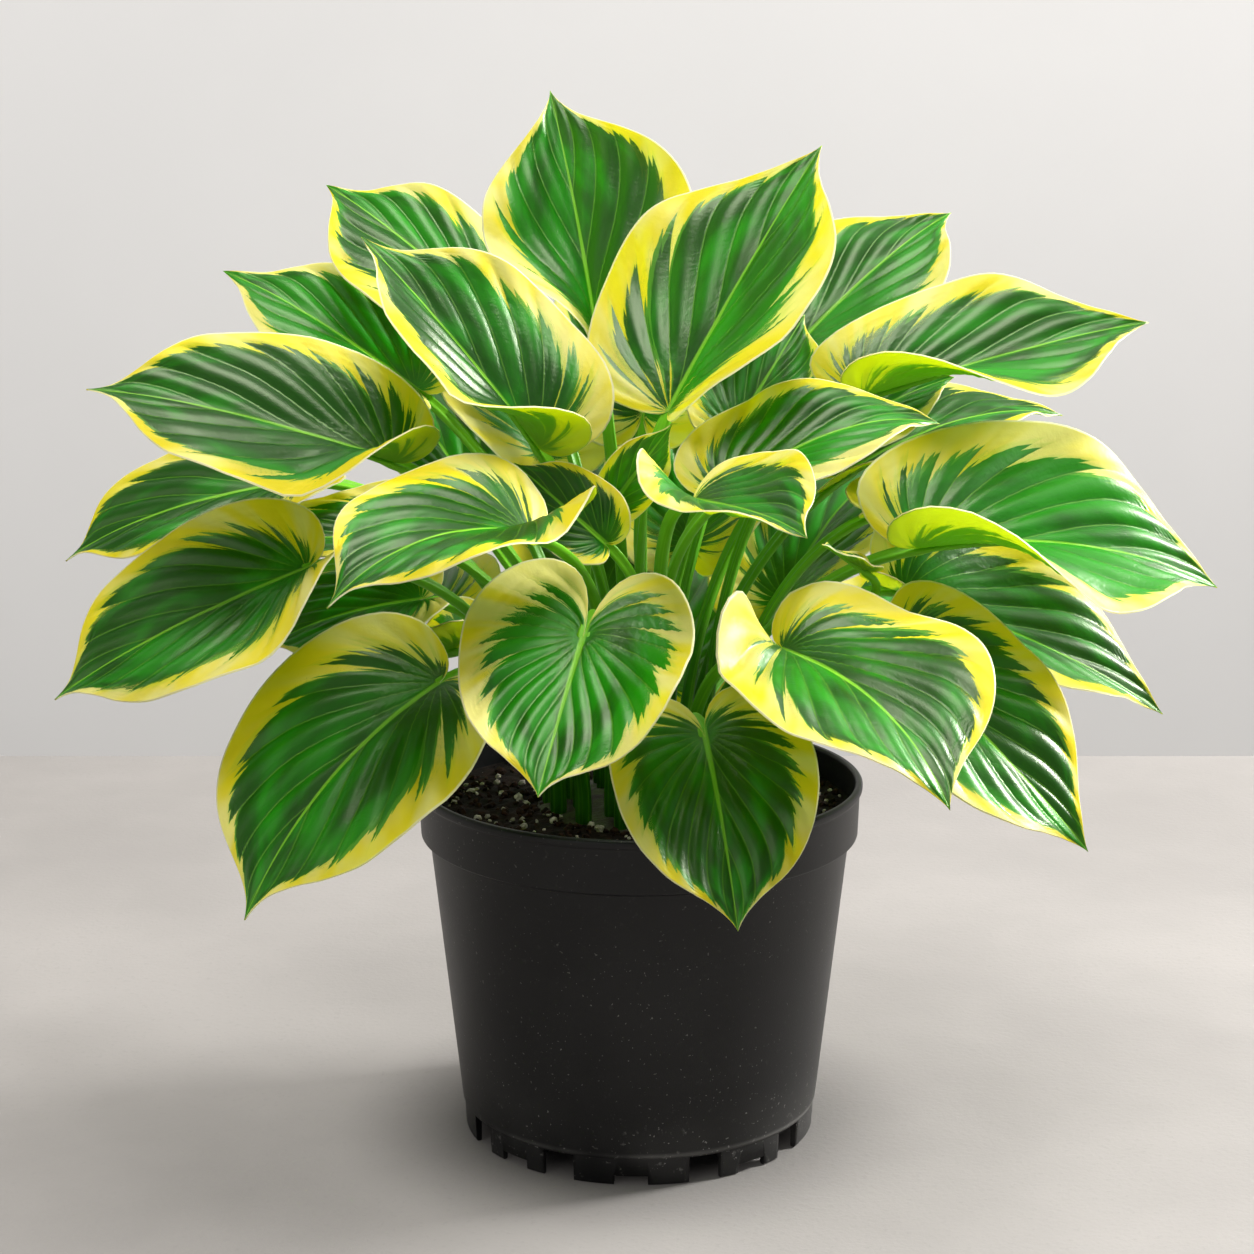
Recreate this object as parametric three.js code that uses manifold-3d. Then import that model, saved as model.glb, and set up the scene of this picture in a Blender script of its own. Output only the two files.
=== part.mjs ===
// Potted hosta: a plastic nursery pot filled with soil, a crown set in the soil,
// and a leaf standing in each hole of the crown. Millimetres, +Z up, the pot's foot on z = 0.
import * as THREE from 'three';
import Module from 'manifold-3d';

const wasm = await Module();
wasm.setup();

// Driving dimensions of the pot.
const potHeight = 186;
const rimRadius = 115;
const bandHeight = 27.6;
const bandRadius = 112.8;
const bodyTopRadius = 108.4;
const footRadius = 91.4;
const wall = 2;
const footStep = 15;
const floorUnder = 10.5;
const floorTop = 13;
const potSides = 32;
const notchTurns = [23.7, 58.5, 121.5, 156.3, -23.7, -58.5, -121.5, -156.3];
const lowNotchTurns = [0, 41, 90, 139, 180, -41, -90, -139];
const notchTurn = -2.8;
const notchWidth = 17;
const notchHeight = 14;
const lowNotchHeight = 5;
const notchDepth = 18;

// Driving dimensions of the soil and the crown.
const fit = 0.3;
const soilLevel = 171;
const pocketFloor = 150;
const crownRadius = 54;
const crownRise = 7;
const crownSides = 18;
const holeFloor = 158;
const footSize = 4.2;
const grainCount = 10;

// Driving dimensions shared by the leaves.
const bladeThickness = 1.0;
const keelDepth = 1.6;
const ribDepth = 0.55;
const stalkSize = 3.4;
const stalkInto = 9;
const stalkSteps = 5;
const ribColumns = 3;
const marginStops = [0, 0.07, 0.15, 0.27, 0.4, 0.57, 0.74, 0.87, 1];

const rings = { core: 10, inner: 22, middle: 34, outer: 46 };

// What a leaf has where its own line names nothing else. Pairs are left side, right side.
const plainLeaf = {
  heading: null, arch: 0.08, hook: 0.03, sway: 0, roll: 0, twist: 0,
  fold: [12, 12], curl: [0, 0], lobes: [25, 25], reach: 0.45, lobe: [0.17, 0.17],
  wide: 0.24, skew: 0, wave: 3, waves: 2.5, phase: 0, size: 1, bend: [0, 0, 0],
};

// Each leaf: name, ring and turn of its foot, joint of stalk and blade, tip, width, and its own form.
const leaves = [
  ['leaf_01', 'core', 120, [-22, 45, 407], [-47, 105, 531], 114, { heading: 82, wide: 0.38,
    sway: 0.01, arch: -0.02, hook: 0.02, fold: [22, 8], lobes: [70, 45], reach: 0.6,
    skew: 0.1, lobe: [0.08, 0.08], phase: 0.1 }],
  ['leaf_02', 'core', 290, [14, -35, 381], [91, 25, 506], 127, { heading: 64, wide: 0.38, skew: -0.03,
    arch: 0.02, hook: 0, fold: [8, 24], lobes: [15, 30], reach: 0.5, lobe: [0.05, 0.05] }],
  ['leaf_03', 'inner', 145, [-77, 95, 413], [-171, 150, 479], 94, { roll: -30, wide: 0.34,
    arch: 0.02, skew: -0.1, fold: [10, 10], lobe: [0.12, 0.12], phase: 0.3 }],
  ['leaf_04', 'core', 210, [-49, -60, 367], [-135, -30, 465], 110, { heading: 118, wide: 0.3,
    arch: 0.03, hook: 0, fold: [36, 12], lobes: [75, 25], lobe: [0.1, 0.1], phase: 0.2 }],
  ['leaf_05', 'middle', 152, [-119, 90, 375], [-226, 130, 434], 84, { roll: -28, wide: 0.3,
    arch: 0.03, hook: 0.03, lobe: [0.12, 0.12], phase: 0.4 }],
  ['leaf_06', 'middle', 208, [-119, -70, 362], [-262, -75, 397], 112, { roll: -36, wide: 0.36,
    arch: 0.03, fold: [16, 13], lobes: [70, 8], lobe: [0.11, 0.11], skew: -0.07 }],
  ['leaf_07', 'outer', 158, [-174, 24, 336], [-296, 22, 295], 82, { roll: -34, arch: 0.06,
    hook: 0.04 }],
  ['leaf_08', 'outer', 206, [-159, -90, 313], [-276, -112, 255], 104, { roll: -42, wide: 0.3,
    arch: 0.04, hook: 0.03, fold: [20, 8], lobes: [40, 10], lobe: [0.12, 0.12],
    skew: -0.08 }],
  ['leaf_09', 'outer', 232, [-94, -120, 265], [-180, -180, 169], 120, { heading: 250, wide: 0.32,
    arch: 0.06, hook: 0, sway: 0.05, skew: 0.01, fold: [8, 6], lobes: [10, 10],
    lobe: [0.1, 0.1] }],
  ['leaf_10', 'middle', 246, [-52, -130, 338], [-137, -200, 318], 102, { roll: -12, arch: 0.11,
    hook: 0.06, lobes: [50, 25] }],
  ['leaf_11', 'outer', 259, [-26, -162, 297], [-45, -225, 240], 108, { heading: 262, arch: 0.02,
    hook: 0, fold: [4, 4], curl: [20, 20], lobes: [0, 0], skew: -0.02, lobe: [0.44, 0.48],
    wide: 0.14 }],
  ['leaf_12', 'inner', 300, [40, -80, 348], [143, -65, 379], 84, { roll: 22, arch: 0.09,
    hook: 0.08, lobes: [35, 35], lobe: [0.12, 0.12] }],
  ['leaf_13', 'middle', 284, [24, -130, 353], [71, -205, 350], 80, { roll: 10, arch: 0.02,
    hook: 0.05, fold: [22, 20], lobes: [10, 42], lobe: [0.05, 0.18],
    bend: [5, -8, 0] }],
  ['leaf_14', 'inner', 50, [83, 110, 393], [173, 165, 463], 98, { roll: 24, wide: 0.3,
    arch: 0.04, skew: 0.08 }],
  ['leaf_15', 'middle', 12, [115, 20, 381], [261, 40, 416], 114, { roll: 30, wide: 0.38, sway: 0.01,
    arch: 0.015, skew: 0.09, fold: [14, 16], lobes: [15, 55], reach: 0.75, lobe: [0.15, 0.08] }],
  ['leaf_16', 'inner', 12, [94, 54, 352], [166, 70, 384], 66, { roll: 38, arch: 0.04,
    fold: [14, 20] }],
  ['leaf_17', 'middle', 42, [114, 95, 330], [233, 130, 355], 76, { roll: 15, hook: 0.05,
    bend: [4, -20, 6] }],
  ['leaf_18', 'middle', 338, [137, -50, 316], [289, -22, 290], 132, { roll: 36, wide: 0.36,
    skew: -0.06, sway: -0.03, arch: 0.06, fold: [12, 16], lobes: [12, 60], reach: 0.7, lobe: [0.16, 0.12] }],
  ['leaf_19', 'outer', 2, [136, 10, 281], [269, 0, 219], 108, { roll: 30, arch: 0.03,
    hook: 0.04, fold: [12, 24] }],
  ['leaf_20', 'outer', 331, [126, -70, 269], [213, -115, 181], 100, { roll: 26, arch: 0.06, sway: 0.05,
    hook: 0.04 }],
  ['leaf_21', 'outer', 299, [66, -140, 285], [132, -235, 237], 122, { heading: 285,
    hook: 0.05, fold: [8, 8], lobes: [22, 70], lobe: [0.17, 0.08], reach: 0.32, wide: 0.3,
    skew: -0.05, sway: -0.03 }],
  ['leaf_22', 'outer', 281, [30, -122, 240], [44, -178, 163], 99, { heading: 278, arch: 0.06,
    hook: 0, lobes: [0, 0], lobe: [0.24, 0.24], wide: 0.18, skew: 0.02 }],
  ['leaf_23', 'inner', 240, [-17, -62, 334], [15, -81, 381], 30, { heading: 80, arch: -0.05, hook: 0,
    size: 0.75, wave: 1, lobe: [0.03, 0.03], wide: 0.4 }],
  ['leaf_24', 'inner', 264, [-17, -80, 324], [-60, -76, 362], 46, { heading: 100, arch: 0,
    hook: 0, fold: [20, 20], size: 0.8, wave: 2, lobe: [0.1, 0.1] }],
  ['leaf_25', 'outer', 180, [-112, 0, 279], [-191, -10, 255], 80, { roll: -30, arch: 0.06,
    hook: 0.05 }],
  ['leaf_26', 'middle', 318, [107, -86, 312], [85, -98, 327], 26, { heading: 200, arch: 0,
    hook: 0, size: 0.7, wave: 1 }],
  ['leaf_27', 'core', 40, [49, 40, 360], [87, 76, 416], 72, { heading: 80, arch: 0, hook: 0,
    size: 0.85 }],
  ['leaf_28', 'middle', 72, [28, 112, 288], [52, 208, 362], 106, { arch: 0.1, hook: 0.05 }],
  ['leaf_29', 'middle', 100, [-20, 114, 254], [-40, 212, 324], 102, { arch: 0.1, hook: 0.05 }],
  ['leaf_30', 'middle', 126, [-88, 112, 304], [-160, 200, 362], 100, { arch: 0.1, hook: 0.05 }],
  ['leaf_31', 'outer', 56, [80, 113, 255], [160, 211, 315], 106, { arch: 0.1, hook: 0.05 }],
  ['leaf_32', 'outer', 136, [-112, 105, 250], [-205, 190, 232], 106, { arch: 0.1, hook: 0.05 }],
  ['leaf_33', 'outer', 80, [18, 122, 206], [33, 230, 258], 112, { arch: 0.1, hook: 0.05 }],
  ['leaf_34', 'outer', 33, [122, 84, 240], [222, 160, 228], 104, { arch: 0.1, hook: 0.05 }],
  ['leaf_36', 'inner', 85, [2, 94, 362], [14, 188, 446], 108, { arch: 0.1, hook: 0.05 }],
  ['leaf_38', 'middle', 180, [-114, -8, 311], [-204, -18, 301], 74, { roll: -20 }],
  ['leaf_39', 'outer', 17, [128, 50, 316], [214, 76, 304], 62, { roll: 14 }],
  ['leaf_35', 'outer', 169, [-98, 30, 246], [-172, 46, 174], 88, { arch: 0.1, bend: [0, -3, 0] }],
  ['leaf_37', 'inner', 115, [-54, 104, 340], [-94, 200, 402], 106, { arch: 0.1, hook: 0.05 }],
];

// Materials, one per sub-part.
function leafMaterial() {
  return new THREE.MeshStandardMaterial({ color: 0x2f7d32, roughness: 0.42, metalness: 0 });
}

function potMaterial() {
  return new THREE.MeshStandardMaterial({ color: 0x232325, roughness: 0.6, metalness: 0 });
}

function soilMaterial() {
  return new THREE.MeshStandardMaterial({ color: 0x2a2019, roughness: 0.95, metalness: 0 });
}

function crownMaterial() {
  return new THREE.MeshStandardMaterial({ color: 0x6f7a3a, roughness: 0.8, metalness: 0 });
}

// Small helpers.
const radians = THREE.MathUtils.degToRad;

function clamp(value, low, high) {
  return Math.min(high, Math.max(low, value));
}

// A seeded draw, so that every build is alike.
function makeDraw(seed) {
  let state = seed;
  return () => {
    state = (state * 1664525 + 1013904223) % 4294967296;
    return state / 4294967296;
  };
}

function solidFrom(points, triangles) {
  return new wasm.Manifold(new wasm.Mesh({
    numProp: 3,
    vertProperties: new Float32Array(points.flatMap((p) => [p.x, p.y, p.z])),
    triVerts: new Uint32Array(triangles.flat()),
  }));
}

function solidFromGeometry(geometry) {
  geometry.computeBoundingBox();
  const points = [];
  const seen = new Map();
  const order = [];
  const place = geometry.getAttribute('position');
  for (let i = 0; i < place.count; i += 1) {
    const p = new THREE.Vector3().fromBufferAttribute(place, i);
    const key = [p.x, p.y, p.z].map((v) => Math.round(v * 10000)).join(',');
    if (!seen.has(key)) {
      seen.set(key, points.length);
      points.push(p);
    }
    order.push(seen.get(key));
  }
  const index = geometry.index ? Array.from(geometry.index.array) : order.map((_, i) => i);
  const triangles = [];
  for (let i = 0; i < index.length; i += 3) {
    const tri = [order[index[i]], order[index[i + 1]], order[index[i + 2]]];
    if (new Set(tri).size === 3) triangles.push(tri);
  }
  return solidFrom(points, triangles);
}

function meshFromSolid(solid, name, material) {
  const result = solid.getMesh();
  const geometry = new THREE.BufferGeometry();
  const place = new THREE.Float32BufferAttribute(result.vertProperties, 3);
  geometry.setAttribute('position', place);
  geometry.setIndex(Array.from(result.triVerts));
  geometry.computeVertexNormals();
  const mesh = new THREE.Mesh(geometry, material);
  mesh.name = name;
  return mesh;
}

// A lathe about Z. LatheGeometry turns about Y, so it is stood up afterwards.
function turned(profile, sides) {
  const points = profile.map(([r, z]) => new THREE.Vector2(r, z));
  const geometry = new THREE.LatheGeometry(points, sides);
  geometry.rotateX(Math.PI / 2);
  return solidFromGeometry(geometry);
}

// The pot: a shell with a rolled lip, a wide band, a tapered body and a raised floor.
function makePot() {
  const bandFoot = potHeight - bandHeight;
  const profile = [
    [0, floorUnder],
    [footRadius - wall - 0.6, floorUnder],
    [footRadius - wall - 0.6, 0],
    [footRadius, 0],
    [footRadius + 0.8, footStep - 0.5],
    [footRadius + 1.6, footStep + 0.3],
    [bodyTopRadius, bandFoot - 1.6],
    [bandRadius, bandFoot],
    [rimRadius - 1.4, potHeight - 5],
    [rimRadius, potHeight - 3.6],
    [rimRadius, potHeight - 1],
    [rimRadius - 1, potHeight],
    [rimRadius - 3, potHeight],
    [rimRadius - 3.9, potHeight - 1.2],
    [bandRadius - wall, bandFoot + 1.6],
    [bodyTopRadius - wall, bandFoot - 1.8],
    [footRadius - wall + 1.6, floorTop + 2],
    [footRadius - wall + 1.2, floorTop],
    [0, floorTop],
  ];
  let pot = turned(profile, potSides);
  for (let i = 0; i < notchTurns.length; i += 1) {
    pot = pot.subtract(notch(notchTurn + notchTurns[i], notchHeight, notchDepth));
    pot = pot.subtract(notch(notchTurn + lowNotchTurns[i], lowNotchHeight, wall * 3));
  }
  return meshFromSolid(pot, 'pot', potMaterial());
}

// A box that cuts the foot wall. Turn 0 faces the front, -Y.
function notch(turn, height, depth) {
  const box = new THREE.BoxGeometry(depth, notchWidth, height + 2);
  const outside = footRadius + 3;
  box.translate(outside - depth / 2, 0, height / 2 - 1);
  box.rotateZ(radians(turn - 90));
  return solidFromGeometry(box);
}

// The soil: it fills the pot, with a low uneven top, small grains, and a pocket for the crown.
function soilHeight(x, y) {
  const wide = Math.sin(x * 0.061 + 0.7) * Math.cos(y * 0.057 - 0.4);
  const fine = Math.sin(x * 0.17 + y * 0.11) * Math.cos(y * 0.19 - x * 0.07 + 1.3);
  return soilLevel + 1.1 * wide + 0.9 * fine;
}

function makeSoil() {
  const bandFoot = potHeight - bandHeight;
  const inner = bandRadius - wall - fit;
  const profile = [
    [0, floorTop + fit],
    [footRadius - wall + 1.2 - fit, floorTop + fit],
    [footRadius - wall + 1.6 - fit, floorTop + 2.2],
    [bodyTopRadius - wall - fit, bandFoot - 1.5],
    [inner, bandFoot + 1.9],
    [inner, soilLevel],
    [95, soilLevel],
    [76, soilLevel],
    [crownRadius + 1, soilLevel],
    [0, soilLevel],
  ];
  const points = profile.map(([r, z]) => new THREE.Vector2(r, z));
  const geometry = new THREE.LatheGeometry(points, potSides);
  geometry.rotateX(Math.PI / 2);
  const place = geometry.getAttribute('position');
  for (let i = 0; i < place.count; i += 1) {
    const x = place.getX(i);
    const y = place.getY(i);
    if (place.getZ(i) > soilLevel - 1) place.setZ(i, soilHeight(x, y));
  }
  let soil = solidFromGeometry(geometry);
  const draw = makeDraw(41);
  for (let i = 0; i < grainCount; i += 1) {
    const turn = Math.PI * 2 * (i + 0.6 * draw()) / grainCount;
    const r = 64 + 38 * draw();
    const size = 1.8 + 1.6 * draw();
    const grain = new THREE.IcosahedronGeometry(size, 0);
    grain.rotateX(draw() * 3);
    const x = r * Math.cos(turn);
    const y = r * Math.sin(turn);
    grain.translate(x, y, soilHeight(x, y) + size * 0.15);
    soil = soil.add(solidFromGeometry(grain));
  }
  const pocket = new THREE.CylinderGeometry(crownRadius + fit, crownRadius + fit, 60, crownSides);
  pocket.rotateX(Math.PI / 2);
  pocket.translate(0, 0, pocketFloor + 30);
  soil = soil.subtract(solidFromGeometry(pocket));
  return meshFromSolid(soil, 'soil', soilMaterial());
}

// The crown: a low knobbly mound with a plain hole for the foot of each leaf.
function crownHeight(r, turn) {
  const dome = crownRise * Math.cos(Math.min(1, r / crownRadius) * Math.PI / 2);
  return soilLevel + 0.8 + dome + 0.7 * Math.sin(turn * 5 + r * 0.2);
}

function makeCrown() {
  const steps = [crownRadius, 40, 20];
  const profile = [[0, pocketFloor + fit], [crownRadius, pocketFloor + fit]];
  for (const r of steps) profile.push([r, soilLevel + 1]);
  profile.push([0, soilLevel + 1]);
  const points = profile.map(([r, z]) => new THREE.Vector2(r, z));
  const geometry = new THREE.LatheGeometry(points, crownSides);
  geometry.rotateX(Math.PI / 2);
  const place = geometry.getAttribute('position');
  for (let i = 0; i < place.count; i += 1) {
    const r = Math.hypot(place.getX(i), place.getY(i));
    const turn = r > 0.01 ? Math.atan2(place.getY(i), place.getX(i)) : 0;
    if (place.getZ(i) > soilLevel - 1) place.setZ(i, crownHeight(r, turn));
  }
  let crown = solidFromGeometry(geometry);
  for (const entry of leaves) {
    const leaf = readLeaf(entry);
    const size = footSize * leaf.size + fit / Math.cos(Math.PI / 6) + 0.06;
    const hole = new THREE.CylinderGeometry(size, size, 60, 6);
    hole.rotateX(Math.PI / 2);
    hole.rotateZ(Math.PI / 2 + radians(leaf.turn));
    hole.translate(leaf.foot.x, leaf.foot.y, holeFloor - fit + 30);
    crown = crown.subtract(solidFromGeometry(hole));
  }
  return meshFromSolid(crown, 'crown', crownMaterial());
}

// The frame of a leaf: along its chord, across to its right, and out of its upper face.
function readLeaf(entry) {
  const [name, ring, turn, joint, tip, width, own] = entry;
  const leaf = { ...plainLeaf, ...own, name, turn, width };
  const r = rings[ring];
  const footX = r * Math.cos(radians(turn));
  const footY = r * Math.sin(radians(turn));
  leaf.foot = new THREE.Vector3(footX, footY, holeFloor);
  leaf.joint = new THREE.Vector3(...joint);
  leaf.chord = new THREE.Vector3(...tip).sub(leaf.joint);
  leaf.length = leaf.chord.length();
  leaf.along = leaf.chord.clone().normalize();
  const plan = new THREE.Vector3(leaf.along.x, leaf.along.y, 0);
  if (leaf.heading !== null) {
    plan.set(Math.cos(radians(leaf.heading)), Math.sin(radians(leaf.heading)), 0);
  }
  const right = new THREE.Vector3().crossVectors(plan.normalize(), new THREE.Vector3(0, 0, 1));
  right.addScaledVector(leaf.along, -right.dot(leaf.along)).normalize();
  const upward = new THREE.Vector3().crossVectors(right, leaf.along);
  const c = Math.cos(radians(leaf.roll));
  const s = Math.sin(radians(leaf.roll));
  leaf.right = right.clone().multiplyScalar(c).addScaledVector(upward, -s);
  leaf.upward = upward.clone().multiplyScalar(c).addScaledVector(right, s);
  return leaf;
}

// The midrib at share x of the length: its place, direction, and the frame across it.
function midrib(leaf, x) {
  const held = clamp(x, 0, 1);
  const over = x - held;
  const bow = 4 * held * (1 - held);
  const bowSlope = 4 * (1 - 2 * held);
  const rise = leaf.length * (leaf.arch * bow + leaf.hook * (held - held ** 5));
  const riseSlope = leaf.length * (leaf.arch * bowSlope + leaf.hook * (1 - 5 * held ** 4));
  const side = leaf.length * leaf.sway * bow;
  const sideSlope = leaf.length * leaf.sway * bowSlope;
  const place = leaf.joint.clone().addScaledVector(leaf.chord, x);
  place.addScaledVector(leaf.upward, rise + over * riseSlope);
  place.addScaledVector(leaf.right, side + over * sideSlope);
  const ahead = leaf.chord.clone().addScaledVector(leaf.upward, riseSlope);
  ahead.addScaledVector(leaf.right, sideSlope).normalize();
  const across = leaf.right.clone().addScaledVector(ahead, -leaf.right.dot(ahead)).normalize();
  const out = new THREE.Vector3().crossVectors(across, ahead);
  const c = Math.cos(radians(leaf.twist) * (held - 0.5));
  const s = Math.sin(radians(leaf.twist) * (held - 0.5));
  const turnedAcross = across.clone().multiplyScalar(c).addScaledVector(out, -s);
  const turnedOut = out.clone().multiplyScalar(c).addScaledVector(across, s);
  return { place, ahead, across: turnedAcross, out: turnedOut };
}

function bezier(a, b, c, d, t) {
  const s = 1 - t;
  return s * s * s * a + 3 * s * s * t * b + 3 * s * t * t * c + t * t * t * d;
}

// The outline of half a blade, in shares of length and half width: lobe, widest place, tip.
function outline(t, lobe, wide) {
  const stretches = [
    [0, 0.15, [0, -0.6 * lobe, -lobe, -lobe], [0, 0.02, 0.16, 0.42]],
    [0.15, 0.4, [-lobe, -lobe, wide - 0.2, wide], [0.42, 0.76, 1, 1]],
    [0.4, 0.74, [wide, wide + 0.22, 0.67, 0.8], [1, 1, 0.86, 0.44]],
    [0.74, 1, [0.8, 0.875, 0.93, 1], [0.44, 0.19, 0.05, 0]],
  ];
  const [low, high, xs, ys] = stretches.find((stretch) => t <= stretch[1]);
  const u = (t - low) / (high - low);
  return [bezier(...xs, u), bezier(...ys, u)];
}

// A place on the blade. Rib 0 is the midrib and rib 1 the margin; side is -1 left, +1 right.
function bladePoint(leaf, t, rib, side) {
  const hand = side < 0 ? 0 : 1;
  const [edgeX, edgeY] = outline(t, leaf.lobe[hand], leaf.wide);
  const start = 0.5 * Math.sqrt(1 - rib);
  const middle = start + (1 - start) * t ** 1.1;
  const x = (1 - rib) * middle + rib * edgeX;
  const half = leaf.width / 2 * (1 + side * leaf.skew);
  const share = rib * edgeY;
  const frame = midrib(leaf, x);
  const base = clamp(1 - (x + 0.15) / leaf.reach, 0, 1.2);
  const soft = base * base * (3 - 2 * Math.min(base, 1));
  const fold = radians(leaf.fold[hand] + leaf.lobes[hand] * soft);
  const curl = radians(leaf.curl[hand]);
  let reachOut = Math.cos(fold) * share;
  let lift = Math.sin(fold) * share;
  if (Math.abs(curl) > 0.0001) {
    reachOut = (Math.sin(fold + curl * share) - Math.sin(fold)) / curl;
    lift = (Math.cos(fold) - Math.cos(fold + curl * share)) / curl;
  }
  const swing = Math.sin(2 * Math.PI * (leaf.waves * t + leaf.phase + (side < 0 ? 0 : 0.43)));
  const wave = leaf.wave * rib * rib * swing * Math.sin(Math.PI * t) ** 0.6;
  frame.place.addScaledVector(frame.across, side * reachOut * half);
  frame.place.addScaledVector(frame.out, lift * half + wave);
  return frame.place;
}

// The blade as one closed body: a ribbed sheet, the same triangles on both faces, and a rim.
function makeBlade(leaf) {
  const rows = marginStops.length - 1;
  const points = [];
  const ribs = [];
  const keels = [];
  const add = (point, rib, keel) => {
    points.push(point);
    ribs.push(rib);
    keels.push(keel);
    return points.length - 1;
  };
  const ribOf = (j) => (j % 2 === 1 ? ribDepth : -ribDepth * (j < ribColumns ? 1 : 0));
  const spine = [];
  for (let j = 0; j <= ribColumns; j += 1) {
    const rib = j / ribColumns;
    const x = (1 - rib) * 0.5 * Math.sqrt(1 - rib);
    spine.push(add(midrib(leaf, x).place, -ribDepth, keelDepth * (1 - x)));
  }
  const ahead = [spine[0]];
  for (let i = 1; i <= rows; i += 1) {
    const x = 0.5 + 0.5 * marginStops[i] ** 1.1;
    const fade = 1 - x;
    ahead.push(add(midrib(leaf, x).place, -ribDepth * fade, keelDepth * fade));
  }
  const halves = [-1, 1].map((side) => {
    const grid = [];
    for (let i = 0; i <= rows; i += 1) {
      const row = [];
      for (let j = 0; j <= ribColumns; j += 1) {
        if (i === 0) row.push(spine[j]);
        else if (i === rows) row.push(ahead[rows]);
        else if (j === 0) row.push(ahead[i]);
        else {
          const t = marginStops[i];
          const spread = Math.sin(Math.PI * t) ** 0.7;
          row.push(add(bladePoint(leaf, t, j / ribColumns, side), ribOf(j) * spread, 0));
        }
      }
      grid.push(row);
    }
    return { side, grid };
  });
  const sheet = [];
  for (const { side, grid } of halves) {
    for (let i = 0; i < rows; i += 1) {
      for (let j = 0; j < ribColumns; j += 1) {
        const a = grid[i][j];
        const b = grid[i][j + 1];
        const c = grid[i + 1][j + 1];
        const d = grid[i + 1][j];
        const found = i === rows - 1 ? [[a, b, c]] : [[a, b, c], [a, c, d]];
        for (const tri of found) sheet.push(side > 0 ? tri : [tri[0], tri[2], tri[1]]);
      }
    }
  }
  const normals = points.map(() => new THREE.Vector3());
  for (const [a, b, c] of sheet) {
    const one = points[b].clone().sub(points[a]);
    const two = points[c].clone().sub(points[a]);
    const face = one.cross(two);
    for (const k of [a, b, c]) normals[k].add(face);
  }
  const count = points.length;
  const both = [];
  for (const way of [1, -1]) {
    for (let k = 0; k < count; k += 1) {
      const lift = ribs[k] + way * bladeThickness / 2 - (way < 0 ? keels[k] : 0);
      both.push(points[k].clone().addScaledVector(normals[k].clone().normalize(), lift));
    }
  }
  const triangles = [];
  for (const [a, b, c] of sheet) {
    triangles.push([a, b, c]);
    triangles.push([a + count, c + count, b + count]);
  }
  for (const { side, grid } of halves) {
    for (let i = 0; i < rows; i += 1) {
      const a = grid[i][ribColumns];
      const b = grid[i + 1][ribColumns];
      const near = side > 0 ? [a, b] : [b, a];
      triangles.push([near[0], near[0] + count, near[1] + count]);
      triangles.push([near[0], near[1] + count, near[1]]);
    }
  }
  return solidFrom(both, triangles);
}

// The stalk's middle line: straight up out of its hole, then a curve into the midrib.
function stalkPath(leaf) {
  const start = midrib(leaf, 0);
  const end = midrib(leaf, stalkInto / leaf.length);
  const top = leaf.foot.clone();
  top.z = soilLevel + crownRise + 3;
  const span = start.place.distanceTo(top);
  const bend = new THREE.Vector3(...leaf.bend);
  const first = top.clone().add(new THREE.Vector3(0, 0, span * 0.42)).add(bend);
  const second = start.place.clone().addScaledVector(start.ahead, -span * 0.28).add(bend);
  const sunk = start.place.clone().addScaledVector(start.out, -0.8);
  const curve = new THREE.CubicBezierCurve3(top, first, second, sunk);
  const level = new THREE.Vector3(Math.sin(radians(leaf.turn)), -Math.cos(radians(leaf.turn)), 0);
  const stations = [{ place: leaf.foot.clone(), ahead: new THREE.Vector3(0, 0, 1), share: 0 }];
  for (let i = 0; i <= stalkSteps; i += 1) {
    const u = i / stalkSteps;
    stations.push({ place: curve.getPoint(u), ahead: curve.getTangent(u), share: u });
  }
  const inside = end.place.clone().addScaledVector(end.out, -1.2);
  stations.push({ place: inside, ahead: end.ahead, share: 1.08 });
  for (const station of stations) {
    const s = clamp(station.share, 0, 1);
    const across = level.clone().lerp(start.across, s * s * (3 - 2 * s));
    across.addScaledVector(station.ahead, -across.dot(station.ahead)).normalize();
    station.across = across;
    station.out = new THREE.Vector3().crossVectors(across, station.ahead);
  }
  return stations;
}

// The stalk: six-sided, with a groove along its upper face that deepens towards the blade.
function makeStalk(leaf) {
  const points = [];
  const triangles = [];
  const stations = stalkPath(leaf);
  stations.forEach((station, i) => {
    const s = clamp(station.share, 0, 1);
    const thin = footSize + (stalkSize - footSize) * Math.min(1, s * 3);
    const size = leaf.size * (i === stations.length - 1 ? 1.1 : thin);
    const groove = clamp(s * 2.5, 0, 1);
    for (let k = 0; k < 6; k += 1) {
      const turn = Math.PI / 2 - k * Math.PI / 3;
      let out = Math.sin(turn) * size;
      if (k === 0) out *= 1 - 0.85 * groove;
      const point = station.place.clone();
      point.addScaledVector(station.across, Math.cos(turn) * size);
      point.addScaledVector(station.out, out);
      points.push(point);
    }
  });
  for (let i = 0; i < stations.length - 1; i += 1) {
    for (let k = 0; k < 6; k += 1) {
      const next = (k + 1) % 6;
      const a = i * 6 + k;
      const b = i * 6 + next;
      triangles.push([a, b + 6, a + 6]);
      triangles.push([a, b, b + 6]);
    }
  }
  const last = (stations.length - 1) * 6;
  for (const [near, far] of [[1, 2], [2, 3], [3, 4], [4, 5]]) {
    triangles.push([0, far, near]);
    triangles.push([last, last + near, last + far]);
  }
  return solidFrom(points, triangles);
}

function makeLeaf(entry) {
  const leaf = readLeaf(entry);
  const solid = makeBlade(leaf).add(makeStalk(leaf));
  return meshFromSolid(solid, leaf.name, leafMaterial());
}

const plant = new THREE.Group();
plant.add(makePot());
plant.add(makeSoil());
plant.add(makeCrown());
for (const entry of leaves) plant.add(makeLeaf(entry));

export default plant;
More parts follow.
